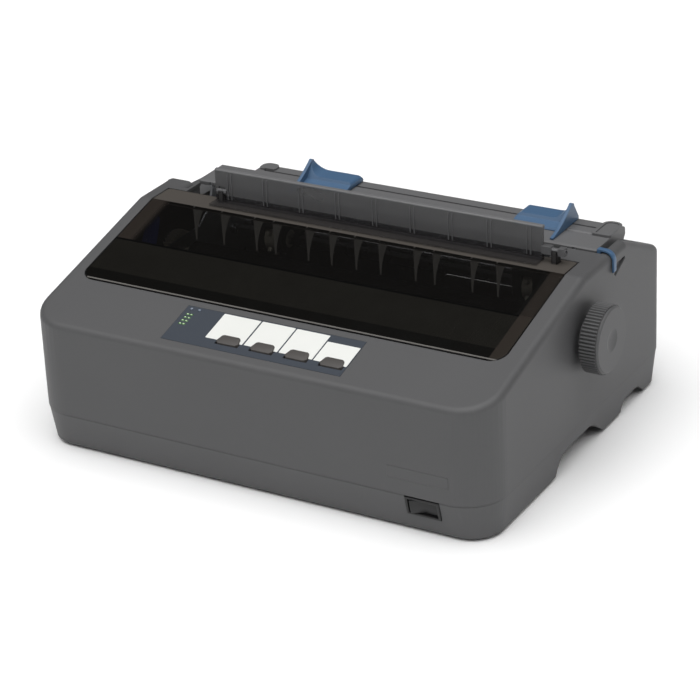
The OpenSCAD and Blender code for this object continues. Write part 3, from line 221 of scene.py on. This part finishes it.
def ribbedKnob(values):
    # as the case, with painted shade on the floors of its grooves
    finish = Finish("knobGrey", {"Specular IOR Level": 0.3})
    depth = finish.axis("Y") - values["axis"][0]
    height = finish.axis("Z") - values["axis"][1]
    reach = (depth * depth + height * height).sum("SQRT")
    shallow, deep = (values["radius"] - below for below in values["grooveDepths"])
    behindFace = finish.ramp(finish.axis("X"), values["face"], values["face"] - values["faceBlend"])
    floorShade = finish.ramp(reach, shallow, deep) * behindFace
    grain = finish.noise(1600, 3)
    body = finish.mix(grain * 0.6 + finish.noise(14) * 0.4, values["colour"], values["pale"])
    finish.put({"Base Color": finish.mix(floorShade, body, values["grooveShade"]),
                "Roughness": grain * 0.12 + 0.44})
    finish.bump(grain, 0.00005, 0.3, finish.softNormal(0.0004))
    return finish.material


def sheetSteel(name, colour, values):
    # zinc-plated sheet: fine rolling lines one way and cloudy spangle
    finish = Finish(name, {"Metallic": 1.0})
    lines = finish.noise(300, 2, values.get("stretch", (1, 20, 20)))
    clouds = finish.node("TexVoronoi", inputs={"Vector": finish.place, "Scale": 160.0}, out="Distance")
    soft = finish.softNormal(0.0003)
    finish.put({"Base Color": finish.mix(lines * 0.6 + clouds * 0.4, shaded(colour, 0.8), colour),
                "Roughness": lines * 0.2 + clouds * 0.1 + values["roughness"]})
    finish.bump(lines, 0.00003, 0.3, soft)
    return finish.material


def turnedSteel(name, colour, values):
    # ground shafts: rings left by the tool
    finish = Finish(name, {"Metallic": 1.0})
    rings = finish.noise(900, 1, (1, 0.02, 0.02))
    smear = finish.noise(60, 3)
    finish.put({"Base Color": finish.mix(smear * 0.5 + rings * 0.3, shaded(colour, 0.7), colour),
                "Roughness": smear * 0.15 + values["roughness"]})
    finish.bump(rings, 0.00002, 0.2)
    return finish.material


def tintedCover(values):
    # smoked sheet: black over the shield, clearer behind it, brown at its rear strip and side margins
    # painted light on it: a reflection making the rear strip paler, shade along the front lip and round the
    # edge, a highlight along the front edge
    finish = Finish("coverSmoked", {"Specular IOR Level": values["specular"], "IOR": values["ior"]})
    (left, front, _), (right, _, _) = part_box("printer_cover")
    across, depth = finish.axis("X"), finish.axis("Y")
    blend = values["blend"]
    strip = finish.ramp(depth, values["stripEdge"] - blend, values["stripEdge"] + blend)
    window = finish.ramp(depth, values["shieldEdge"] - blend, values["shieldEdge"] + blend)
    seam = finish.ramp(depth, *(values["shieldEdge"] - reach for reach in values["seamReach"])) * (1 - window)
    rightMargin = finish.ramp(across, *(right - reach for reach in values["rightMargin"]))
    leftMargin = finish.ramp(across, *(left + reach for reach in values["leftMargin"])) * window
    lipShade = finish.ramp(depth, *(front + reach for reach in values["lipShade"]))
    post = finish.ramp(finish.axis("Z"), *values["postHeights"])
    # layers of the sheet's colour and of painted light, each over the one before
    swirl = finish.noise(26, 3)
    threads = finish.noise(500, 2, (1, 0.12, 0.12))
    overShield = finish.mix(swirl * 0.6 + threads * 0.4, values["front"], values["frontPale"])
    sheet = finish.mix(window, overShield, values["rear"])
    sheet = finish.mix(seam, sheet, values["seam"])
    # painted shade: a dark band along the front lip, in the seam's colour
    sheet = finish.mix(lipShade * (1 - rightMargin) * 0.7, sheet, values["seam"])
    sheet = finish.mix((rightMargin * 0.8 + leftMargin * 0.7) * (1 - strip), sheet, values["margin"])
    # the rear strip: its brown made paler as a painted reflection
    sheet = finish.mix(strip, sheet, finish.mix(swirl, values["strip"], values["stripPale"]))
    sheet = finish.mix(post, sheet, values["post"])
    # painted shade: a dark band round the sheet's edge, for the gap between the cover and the case
    soft = finish.softNormal(values["edgeRound"])
    edge = finish.nearEdge(soft, *values["edgeReach"])
    sheet = finish.mix(edge, sheet, values["edge"])
    # a painted highlight: a bright line along the front edge
    lineBack = finish.ramp(depth, *(front + reach for reach in values["lineBack"]))
    lineFront = finish.ramp(depth, *(front + reach for reach in values["lineFront"]))
    lineRight = finish.ramp(across, *(right - reach for reach in values["lineEnds"]))
    lineLeft = finish.ramp(across, *(left + reach for reach in values["lineEnds"]))
    paintedHighlight = lineBack * lineRight * lineLeft * lineFront
    haze = finish.noise(60, 3)
    finish.put({"Base Color": finish.mix(paintedHighlight, sheet, values["paintedHighlight"]), "Coat Weight": edge * 0.8,
                "Roughness": haze * 0.1 + values["roughness"],
                "Alpha": 1 - window * (1 - strip) * (1 - leftMargin) * values["clear"]})
    finish.bump(finish.noise(45, 1), 0.00008, 0.05, soft)
    return finish.material


def clearSeparator(values):
    # clear grey sheet, paler along its top edge and its ribs as a painted highlight, darker where it meets
    # its foot as painted shade
    finish = Finish("separatorClear", {"Specular IOR Level": 0.4, "IOR": 1.49})
    depth, height = finish.axis("Y"), finish.axis("Z")
    top = finish.ramp(height, *values["topHeights"])
    base = finish.ramp(height, *values["baseHeights"])
    foot = finish.ramp(depth, *values["footDepths"]) * finish.ramp(height, *values["footHeights"])
    ribHighlight = finish.ramp(depth, *values["ribDepths"]) * finish.ramp(height, *values["ribHeights"])
    haze = finish.noise(18, 2)
    body = finish.mix(haze, values["body"], values["bodyPale"])
    # painted shade: darker at the base and over the foot
    body = finish.mix(base, body, values["base"])
    # painted highlight: paler ribs and a paler top edge
    body = finish.mix(ribHighlight * 0.7, body, values["ribHighlight"])
    body = finish.mix(top, body, values["top"])
    body = finish.mix(foot, body, finish.mix(haze, values["foot"], values["base"]))
    finish.put({"Base Color": body, "Roughness": haze * 0.1 + 0.24,
                "Alpha": (1 - foot) * (top * 0.2 + values["alpha"]) + foot * 0.35})
    finish.bump(finish.noise(120, 1), 0.00005, 0.05)
    return finish.material


def printedFilm(name, colour, values):
    # printed polyester film with a fine matt lacquer
    finish = Finish(name, {"Specular IOR Level": 0.35})
    lacquer = finish.noise(2600, 2)
    cloud = finish.noise(20, 2)
    finish.put({"Base Color": finish.mix(cloud, shaded(colour, 0.93), colour),
                "Roughness": lacquer * 0.15 + values["roughness"]})
    finish.bump(lacquer, 0.00002, 0.25)
    return finish.material


def rubberSkin(name, colour):
    # ground rubber: dull, dusty, with rings from grinding
    finish = Finish(name, {"Specular IOR Level": 0.25})
    dust = finish.noise(220, 4)
    rings = finish.noise(1200, 1, (1, 0.05, 0.05))
    settled = finish.ramp(dust, 0.45, 0.8) * 0.5
    finish.put({"Base Color": finish.mix(settled, colour, shaded(colour, 1.8, 0.01)),
                "Roughness": dust * 0.2 + 0.62})
    finish.bump(rings + dust * 0.5, 0.00005, 0.3)
    return finish.material


def circuitBoard(values):
    # green lacquer over tracks; what stands on it is black or bare metal
    finish = Finish("boardGreen", {})
    height = finish.axis("Z")
    layout = {"Vector": finish.place, "Scale": 120.0, "Mortar Size": 0.012, "Mortar Smooth": 0.1}
    tracks = finish.node("TexBrick", {"offset": 0.37, "squash": 1.6, "squash_frequency": 3}, layout,
                         out="Fac")
    lacquer = finish.mix(tracks * 0.7, values["lacquer"], values["track"])
    grime = finish.noise(70, 3)
    parts = finish.mix(finish.noise(500, 2), values["part"], values["partPale"])
    raised = 0.0
    if values["level"]:
        raised = finish.ramp(height, values["level"] + 0.00005, values["level"] + 0.0002)
    finish.put({"Base Color": finish.mix(raised, finish.mix(grime * 0.3, lacquer, values["track"]), parts),
                "Roughness": grime * 0.2 + 0.35})
    finish.bump(tracks + grime * 0.2, 0.00004, 0.3)
    return finish.material


def ribbonCloth():
    # inked nylon ribbon, a fine plain weave
    finish = Finish("ribbonInk", {"Specular IOR Level": 0.2})
    weave = finish.node("TexChecker", inputs={"Vector": finish.place, "Scale": 4200.0}, out="Fac")
    ink = finish.noise(120, 3)
    finish.put({"Base Color": finish.mix(ink * 0.5 + weave * 0.2, tone(14, 14, 16), tone(44, 42, 50)),
                "Roughness": ink * 0.2 + 0.6})
    finish.bump(weave, 0.00003, 0.4)
    return finish.material


def flatCable():
    # ribbon cable with its row of conductors
    finish = Finish("cableGrey", {"Roughness": 0.5})
    spacing = {"Vector": finish.place, "Scale": 250.0, "Distortion": 0.0}
    wave = finish.node("TexWave", {"bands_direction": "X"}, spacing, out="Fac")
    dirt = finish.noise(60, 3)
    finish.put({"Base Color": finish.mix(wave * 0.6 + dirt * 0.3, tone(196, 197, 199), tone(150, 152, 155)),
                "Roughness": dirt * 0.2 + 0.4})
    finish.bump(wave, 0.00015, 0.6)
    return finish.material


def unlitLamp(name, colour):
    # clear coloured plastic, paler where it is thin
    finish = Finish(name, {"Roughness": 0.25, "Coat Weight": 0.4})
    depthTone = finish.noise(900, 2)
    finish.put({"Base Color": finish.mix(depthTone, colour, shaded(colour, 1.5, 0.05))})
    finish.bump(depthTone, 0.00002, 0.2)
    return finish.material


caseColour = tone(80, 80, 81)
boardColours = {"lacquer": tone(30, 74, 48), "track": tone(52, 104, 66),
                "part": tone(30, 30, 32), "partPale": tone(48, 48, 50)}
# places are in metres in the shared frame; pairs are where a blend starts and ends
knobLook = {"axis": (0.0078, 0.088), "radius": 0.0235, "face": 0.1815,
            "grooveDepths": (0.0002, 0.0009), "faceBlend": 0.0008,
            "colour": caseColour, "pale": tone(90, 90, 91), "grooveShade": tone(58, 58, 58)}
# on the cover the strip colours carry a painted reflection, the seam colour also paints shade along the front
# lip, the edge colour is painted shade and the bright line colour a painted highlight
coverLook = {"front": tone(18, 17, 15), "frontPale": tone(25, 24, 21), "rear": tone(13, 12, 11),
             "seam": tone(4, 4, 4), "margin": tone(46, 41, 37), "strip": tone(80, 76, 72),
             "stripPale": tone(75, 71, 67), "post": tone(58, 57, 57), "edge": tone(5, 5, 5),
             "paintedHighlight": tone(104, 102, 99), "clear": 0.35, "roughness": 0.16, "specular": 0.12, "ior": 1.49,
             "stripEdge": 0.0055, "shieldEdge": -0.0405, "blend": 0.0003, "seamReach": (0.0022, 0.0014),
             "rightMargin": (0.0125, 0.0115), "leftMargin": (0.019, 0.012), "lipShade": (0.012, 0.011),
             "postHeights": (0.1302, 0.1306), "edgeRound": 0.0016, "edgeReach": (0.004, 0.03),
             "lineBack": (0.0022, 0.0018), "lineFront": (0.0006, 0.001), "lineEnds": (0.004, 0.006)}
# the separator's base and foot colours are painted shade, its rib and top colours a painted highlight
separatorLook = {"body": tone(90, 90, 91), "bodyPale": tone(96, 96, 97), "base": tone(46, 45, 47),
                 "foot": tone(60, 58, 58), "ribHighlight": tone(108, 108, 110), "top": tone(108, 108, 109),
                 "alpha": 0.74, "topHeights": (0.1530, 0.1536), "baseHeights": (0.1362, 0.1350),
                 "footDepths": (0.0188, 0.0184), "footHeights": (0.1328, 0.1322),
                 "ribDepths": (0.01945, 0.01925), "ribHeights": (0.1325, 0.1332)}

finishes = {
    "case": moulded("caseGrey", caseColour,
                    {"roughness": 0.52, "grain": 1300, "spread": 0.10, "bump": 0.4, "edge": 0.0007}),
    "guide": moulded("guideGrey", tone(98, 98, 99), {"grain": 1300, "spread": 0.09}),
    "knob": ribbedKnob(knobLook),
    "blue": moulded("partBlue", tone(68, 96, 126),
                    {"roughness": 0.38, "grain": 1900, "spread": 0.05, "bump": 0.2}),
    # the cover's ribs: pale and glowing as painted light, for clear ribs lit through their edges
    "coverRibPaintedLight": moulded("coverRibPaintedLight", tone(188, 184, 178),
                        {"roughness": 0.4, "grain": 900, "bump": 0.2, "paintedGlow": 0.2}),
    # the thickness lever's glow is painted light
    "leverBlue": moulded("leverBlue", tone(46, 66, 150),
                         {"roughness": 0.4, "grain": 1900, "bump": 0.2, "paintedGlow": 0.1}),
    "switchBlack": moulded("switchBlack", tone(22, 22, 23), {"roughness": 0.38, "grain": 1700, "bump": 0.2}),
    "black": moulded("blackPlastic", tone(36, 36, 38), {"roughness": 0.42, "grain": 1700, "bump": 0.25}),
    "blackSoft": moulded("blackMatt", tone(46, 47, 49), {"roughness": 0.55}),
    "white": moulded("nylonWhite", tone(214, 208, 192),
                     {"roughness": 0.45, "grain": 1200, "spread": 0.05, "wear": 0.2}),
    "button": moulded("buttonGrey", tone(74, 71, 69), {"grain": 2000, "bump": 0.25, "edge": 0.0004}),
    "shield": moulded("shieldBrown", tone(44, 36, 31), {"roughness": 0.6, "grain": 500, "bump": 0.5}),
    "motor": moulded("motorBlack", tone(52, 53, 56), {"roughness": 0.35, "grain": 700, "specular": 0.6}),
    "supply": moulded("supplyGrey", tone(96, 98, 102), {"roughness": 0.4, "grain": 600}),
    "head": sheetSteel("headCast", tone(128, 130, 134), {"roughness": 0.45, "stretch": (6, 6, 6)}),
    "steel": sheetSteel("frameZinc", tone(186, 188, 192), {"roughness": 0.3}),
    "shaft": turnedSteel("shaftGround", tone(200, 201, 204), {"roughness": 0.2}),
    "rubber": rubberSkin("platenRubber", tone(28, 28, 30)),
    "feet": rubberSkin("feetRubber", tone(34, 34, 35)),
    "belt": rubberSkin("beltRubber", tone(24, 24, 25)),
    "cover": tintedCover(coverLook),
    "separator": clearSeparator(separatorLook),
    "overlay": printedFilm("overlayBlue", tone(56, 62, 71), {"roughness": 0.45}),
    "cell": printedFilm("overlayWhite", tone(229, 230, 226), {"roughness": 0.5}),
    "board": circuitBoard({"level": 0.03165, **boardColours}),
    "panelBoard": circuitBoard({"level": 0, **boardColours}),
    "ribbon": ribbonCloth(),
    "cable": flatCable(),
    "lampDim": unlitLamp("lampDim", tone(84, 94, 108)),
    "lampGreen": unlitLamp("lampGreen", tone(48, 92, 42)),
    "lampDot": unlitLamp("lampDot", tone(168, 188, 150)),
}

nodeFinish = {
    "lower_case": "case", "upper_case": "case", "rubber_feet": "feet", "printer_cover": "cover",
    "cover_ribs": "coverRibPaintedLight", "sound_shield": "shield", "paper_separator": "separator",
    "paper_guide": "guide",
    "edge_guide_left": "blue", "edge_guide_right": "blue", "release_lever": "blue",
    "thickness_lever": "leverBlue", "carriage_shaft": "shaft", "feed_knob": "knob", "platen_core": "shaft",
    "platen_roller": "rubber", "platen_bushes": "white", "platen_gear": "white", "reduction_gear": "white",
    "tractor_idler": "white", "tractor_gear": "white", "feed_motor": "motor", "feed_pinion": "shaft",
    "pressure_rollers": "rubber", "paper_chute": "blackSoft", "carriage": "blackSoft", "print_head": "head",
    "carriage_motor": "motor", "drive_pulley": "shaft", "idler_pulley": "shaft", "drive_belt": "belt",
    "ribbon_cartridge": "black", "ribbon": "ribbon", "ribbon_knob": "blackSoft",
    "tractor_drive_shaft": "shaft", "tractor_support_shaft": "shaft", "tractor_left": "blackSoft",
    "tractor_right": "blackSoft", "sprocket_left": "white", "sprocket_right": "white",
    "gate_left": "blackSoft", "gate_right": "blackSoft",
    "lock_lever_left": "blue", "lock_lever_right": "blue",
    "control_overlay": "overlay", "panel_board": "panelBoard", "button_1": "button", "button_2": "button",
    "button_3": "button", "button_4": "button", "switch_bezel": "black", "power_rocker": "black",
    "base_frame": "steel", "side_frame_left": "steel", "side_frame_right": "steel", "main_board": "board",
    "power_supply": "supply", "mains_inlet": "black", "head_cable": "cable", "frame_screws": "steel",
}


def dressNodes():
    for name, kind in nodeFinish.items():
        mesh = cadNodes[name].data
        mesh.materials.clear()
        mesh.materials.append(finishes[kind])


dressNodes()
print("finishes on the nodes:", len(nodeFinish))

# making pieces


# angles in degrees, above which an edge shades as sharp, and above which it is rounded
sharpAngles = {"shading": 40, "rounding": 32}


def addPiece(bm, name, finish, body):
    mesh = bpy.data.meshes.new(name)
    bm.to_mesh(mesh)
    bm.free()
    mesh.materials.append(finishes[finish])
    for polygon in mesh.polygons:
        polygon.use_smooth = True
    mesh.set_sharp_from_angle(angle=math.radians(sharpAngles["shading"]))
    piece = bpy.data.objects.new(name, mesh)
    bpy.context.scene.collection.objects.link(piece)
    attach(piece, body)
    return piece


def softened(node, name, finish, body, width, segments=2):
    # the node's own form with its edges rounded, in place of the node
    bm = bmesh.new()
    bm.from_mesh(cadNodes[node].data)
    bmesh.ops.remove_doubles(bm, verts=bm.verts, dist=0.00001)
    bmesh.ops.dissolve_limit(bm, angle_limit=math.radians(1), verts=bm.verts, edges=bm.edges)
    bmesh.ops.recalc_face_normals(bm, faces=bm.faces)
    least = math.radians(sharpAngles["rounding"])
    edges = [e for e in bm.edges if len(e.link_faces) == 2 and e.calc_face_angle(0) > least]
    bmesh.ops.bevel(bm, geom=edges, offset=width, offset_type="OFFSET", segments=segments, profile=0.5,
                    affect="EDGES", clamp_overlap=True, material=-1)
    bmesh.ops.triangulate(bm, faces=[f for f in bm.faces if len(f.verts) > 4])
    piece = addPiece(bm, name, finish, body)
    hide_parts(node)
    return piece


# control panel

# millimetres; places on the panel go from the overlay's front left corner
panel = {"left": 105.0, "front": 9.5, "deckFront": 94.4, "deckRise": 35.6, "deckRun": 143.0,
         "cells": [(28.9, 9.6, 57.2, 35.3), (58.4, 9.8, 83.6, 35.3),
                   (84.7, 9.8, 109.6, 35.1), (110.6, 9.6, 135.0, 29.3)],
         "cellCorner": 0.5, "film": 0.12, "cellSink": 0.02,
         "lamps": [(4.2, 33.3), (10.2, 33.4)], "lampRadius": 1.15,
         # shares of the radius with their heights
         "lampProfile": [(1, -0.2), (1, 0.2), (0.9, 0.6), (0.5, 0.9), (0, 1.0)]}
rowLamps = {"x": 4.5, "y": 17.6, "dx": 2.8, "dy": 3.35, "rows": 4, "columns": 2, "thick": 0.6, "corner": 0.15,
            "pieces": {"row_lamps": {"finish": "lampGreen", "size": (2.4, 1.7), "lift": -0.05},
                       "row_lamp_dots": {"finish": "lampDot", "size": (1.1, 0.9), "lift": 0.27}}}
panelSlope = math.atan(panel["deckRise"] / panel["deckRun"])


def onPanel(x, y, lift=0.0):
    # x across and y up the slope from the overlay's front left corner
    deckHere = panel["deckFront"] + panel["deckRise"] * panel["front"] / panel["deckRun"]
    start = at(panel["left"], panel["front"], deckHere)
    along = Vector((0, math.cos(panelSlope), math.sin(panelSlope)))
    out = Vector((0, -math.sin(panelSlope), math.cos(panelSlope)))
    return start + (Vector((x, 0, 0)) + along * y + out * lift) / 1000


def panelTurn(x, y, lift):
    return Matrix.Translation(onPanel(x, y, lift)) @ Matrix.Rotation(panelSlope, 4, "X")


def makeCells():
    bm = bmesh.new()
    for x0, y0, x1, y1 in panel["cells"]:
        made = bmesh.ops.create_grid(bm, x_segments=1, y_segments=1, size=0.5)["verts"]
        bmesh.ops.scale(bm, vec=((x1 - x0) / 1000, (y1 - y0) / 1000, 1), verts=made)
        corners = bmesh.ops.bevel(bm, geom=made, offset=panel["cellCorner"] / 1000, segments=5, profile=0.5,
                                  affect="VERTICES", material=-1)
        faces = list({f for v in corners["verts"] for f in v.link_faces})
        lifted = bmesh.ops.extrude_face_region(bm, geom=faces)
        top = [v for v in lifted["geom"] if isinstance(v, bmesh.types.BMVert)]
        bmesh.ops.translate(bm, vec=(0, 0, panel["film"] / 1000), verts=top)
        island = set(top)
        for v in top:
            for e in v.link_edges:
                island.update(e.verts)
        turn = panelTurn((x0 + x1) / 2, (y0 + y1) / 2, -panel["cellSink"])
        bmesh.ops.transform(bm, matrix=turn, verts=list(island))
    bmesh.ops.recalc_face_normals(bm, faces=bm.faces)
    addPiece(bm, "overlay_cells", "cell", "chassis")


def makeRoundLamps():
    for index, (x, y) in enumerate(panel["lamps"]):
        bm = bmesh.new()
        r = panel["lampRadius"] / 1000
        line = [bm.verts.new((r * share, 0, height / 1000)) for share, height in panel["lampProfile"]]
        edges = [bm.edges.new(pair) for pair in zip(line, line[1:])]
        bmesh.ops.spin(bm, geom=line + edges, cent=(0, 0, 0), axis=(0, 0, 1), angle=math.tau, steps=24,
                       use_merge=True)
        bmesh.ops.remove_doubles(bm, verts=bm.verts, dist=0.000001)
        bmesh.ops.holes_fill(bm, edges=bm.edges)
        bmesh.ops.recalc_face_normals(bm, faces=bm.faces)
        bmesh.ops.transform(bm, matrix=panelTurn(x, y, 0), verts=bm.verts)
        addPiece(bm, f"round_lamp_{index + 1}", "lampDim", "chassis")


def makeRowLamps(values):
    for name, lamp in values["pieces"].items():
        bm = bmesh.new()
        wide, tall = lamp["size"]
        for row in range(values["rows"]):
            for column in range(values["columns"]):
                made = bmesh.ops.create_cube(bm, size=1)["verts"]
                bmesh.ops.scale(bm, vec=(wide / 1000, tall / 1000, values["thick"] / 1000), verts=made)
                x = values["x"] + column * values["dx"]
                y = values["y"] + row * values["dy"]
                bmesh.ops.transform(bm, matrix=panelTurn(x, y, lamp["lift"]), verts=made)
        bmesh.ops.bevel(bm, geom=list(bm.edges), offset=values["corner"] / 1000, segments=2, profile=0.5,
                        affect="EDGES", material=-1)
        addPiece(bm, name, lamp["finish"], "chassis")


makeCells()
makeRoundLamps()
makeRowLamps(rowLamps)
buttonEdge = {"width": 0.0006, "segments": 3}
for index, body in enumerate(("button_a", "button_b", "button_c", "button_d")):
    softened(f"button_{index + 1}", f"button_cap_{index + 1}", "button", body,
             buttonEdge["width"], buttonEdge["segments"])
print("control panel made")

plate = {"left": 277.0, "right": 321.0, "low": 38.8, "high": 47.2, "corner": 1.0, "proud": 0.12, "sink": 0.2}


def makePlate(values):
    # a bare plate on the front wall, sunk a little way into it
    bm = bmesh.new()
    wide, tall = (values["right"] - values["left"]) / 1000, (values["high"] - values["low"]) / 1000
    made = bmesh.ops.create_grid(bm, x_segments=1, y_segments=1, size=0.5)["verts"]
    bmesh.ops.scale(bm, vec=(wide, tall, 1), verts=made)
    bmesh.ops.bevel(bm, geom=made, offset=values["corner"] / 1000, segments=4, profile=0.5,
                    affect="VERTICES", material=-1)
    lifted = bmesh.ops.extrude_face_region(bm, geom=list(bm.faces))
    top = [v for v in lifted["geom"] if isinstance(v, bmesh.types.BMVert)]
    bmesh.ops.translate(bm, vec=(0, 0, (values["proud"] + values["sink"]) / 1000), verts=top)
    centre = at((values["left"] + values["right"]) / 2, values["sink"], (values["low"] + values["high"]) / 2)
    turn = Matrix.Translation(centre) @ Matrix.Rotation(math.radians(90), 4, "X")
    bmesh.ops.transform(bm, matrix=turn, verts=bm.verts)
    bmesh.ops.recalc_face_normals(bm, faces=bm.faces)
    addPiece(bm, "front_plate", "case", "chassis")


makePlate(plate)
print("front plate made")

# pieces whose edges are rounded by hand on the real object

# node: piece, finish, body, slot and the width of the rounding in metres
rounded = {
    "power_rocker": ("rocker_soft", "switchBlack", "rocker", "black_plastic", 0.0005),
    "switch_bezel": ("bezel_soft", "switchBlack", "chassis", "black_plastic", 0.0004),
    "release_lever": ("release_lever_soft", "blue", "release", "part_blue", 0.0004),
    "thickness_lever": ("thickness_lever_soft", "leverBlue", "thickness", "lever_blue", 0.0006),
}
for node, (name, finish, body, slot, width) in rounded.items():
    softened(node, name, finish, body, width)
print("rounded pieces made")

# studio

studio = {"floor": 8.0, "floorTone": 0.97, "floorPale": 1.02,
          "skyTop": 2.75, "skyLow": 0.05, "skyRange": (0.62, 0.9), "sky": (0.06, -0.22, 0.974),
          "softbox": {"size": 1.6, "energy": 1.2, "place": (1.9, -0.4, 1.1), "aim": (0, 0, 0.06)}}


def makeFloor(values):
    bm = bmesh.new()
    bmesh.ops.create_grid(bm, x_segments=1, y_segments=1, size=values["floor"])
    mesh = bpy.data.meshes.new("floor")
    bm.to_mesh(mesh)
    bm.free()
    finish = Finish("floorPale", {"Roughness": 0.9, "Specular IOR Level": 0.1})
    shade = values["floorTone"]
    pale = shade * values["floorPale"]
    patches = finish.noise(3, 2)
    finish.put({"Base Color": finish.mix(patches, (shade, shade, shade, 1), (pale, pale, pale, 1))})
    mesh.materials.append(finish.material)
    floor = bpy.data.objects.new("floor", mesh)
    bpy.context.scene.collection.objects.link(floor)


def makeSky(values):
    # bright overhead and dark near the horizon
    world = bpy.data.worlds.new("studio")
    bpy.context.scene.world = world
    world.use_nodes = True
    tree = world.node_tree
    direction = tree.nodes.new("ShaderNodeTexCoord")
    towards = tree.nodes.new("ShaderNodeVectorMath")
    towards.operation = "DOT_PRODUCT"
    tree.links.new(direction.outputs["Generated"], towards.inputs[0])
    towards.inputs[1].default_value = values["sky"]
    height = tree.nodes.new("ShaderNodeMapRange")
    height.interpolation_type = "SMOOTHSTEP"
    tree.links.new(towards.outputs["Value"], height.inputs["Value"])
    height.inputs["From Min"].default_value, height.inputs["From Max"].default_value = values["skyRange"]
    height.inputs["To Min"].default_value = values["skyLow"]
    height.inputs["To Max"].default_value = values["skyTop"]
    tree.links.new(height.outputs[0], tree.nodes["Background"].inputs["Strength"])
    tree.nodes["Background"].inputs["Color"].default_value = (1, 1, 1, 1)


def makeSoftbox(values):
    data = bpy.data.lights.new("sideSoftbox", "AREA")
    data.shape = "DISK"
    data.size = values["size"]
    data.energy = values["energy"]
    light = bpy.data.objects.new("sideSoftbox", data)
    light.location = values["place"]
    towards = Vector(values["aim"]) - Vector(values["place"])
    light.rotation_euler = towards.to_track_quat("-Z", "Y").to_euler()
    bpy.context.scene.collection.objects.link(light)


makeFloor(studio)
makeSky(studio)
makeSoftbox(studio["softbox"])
print("studio made")
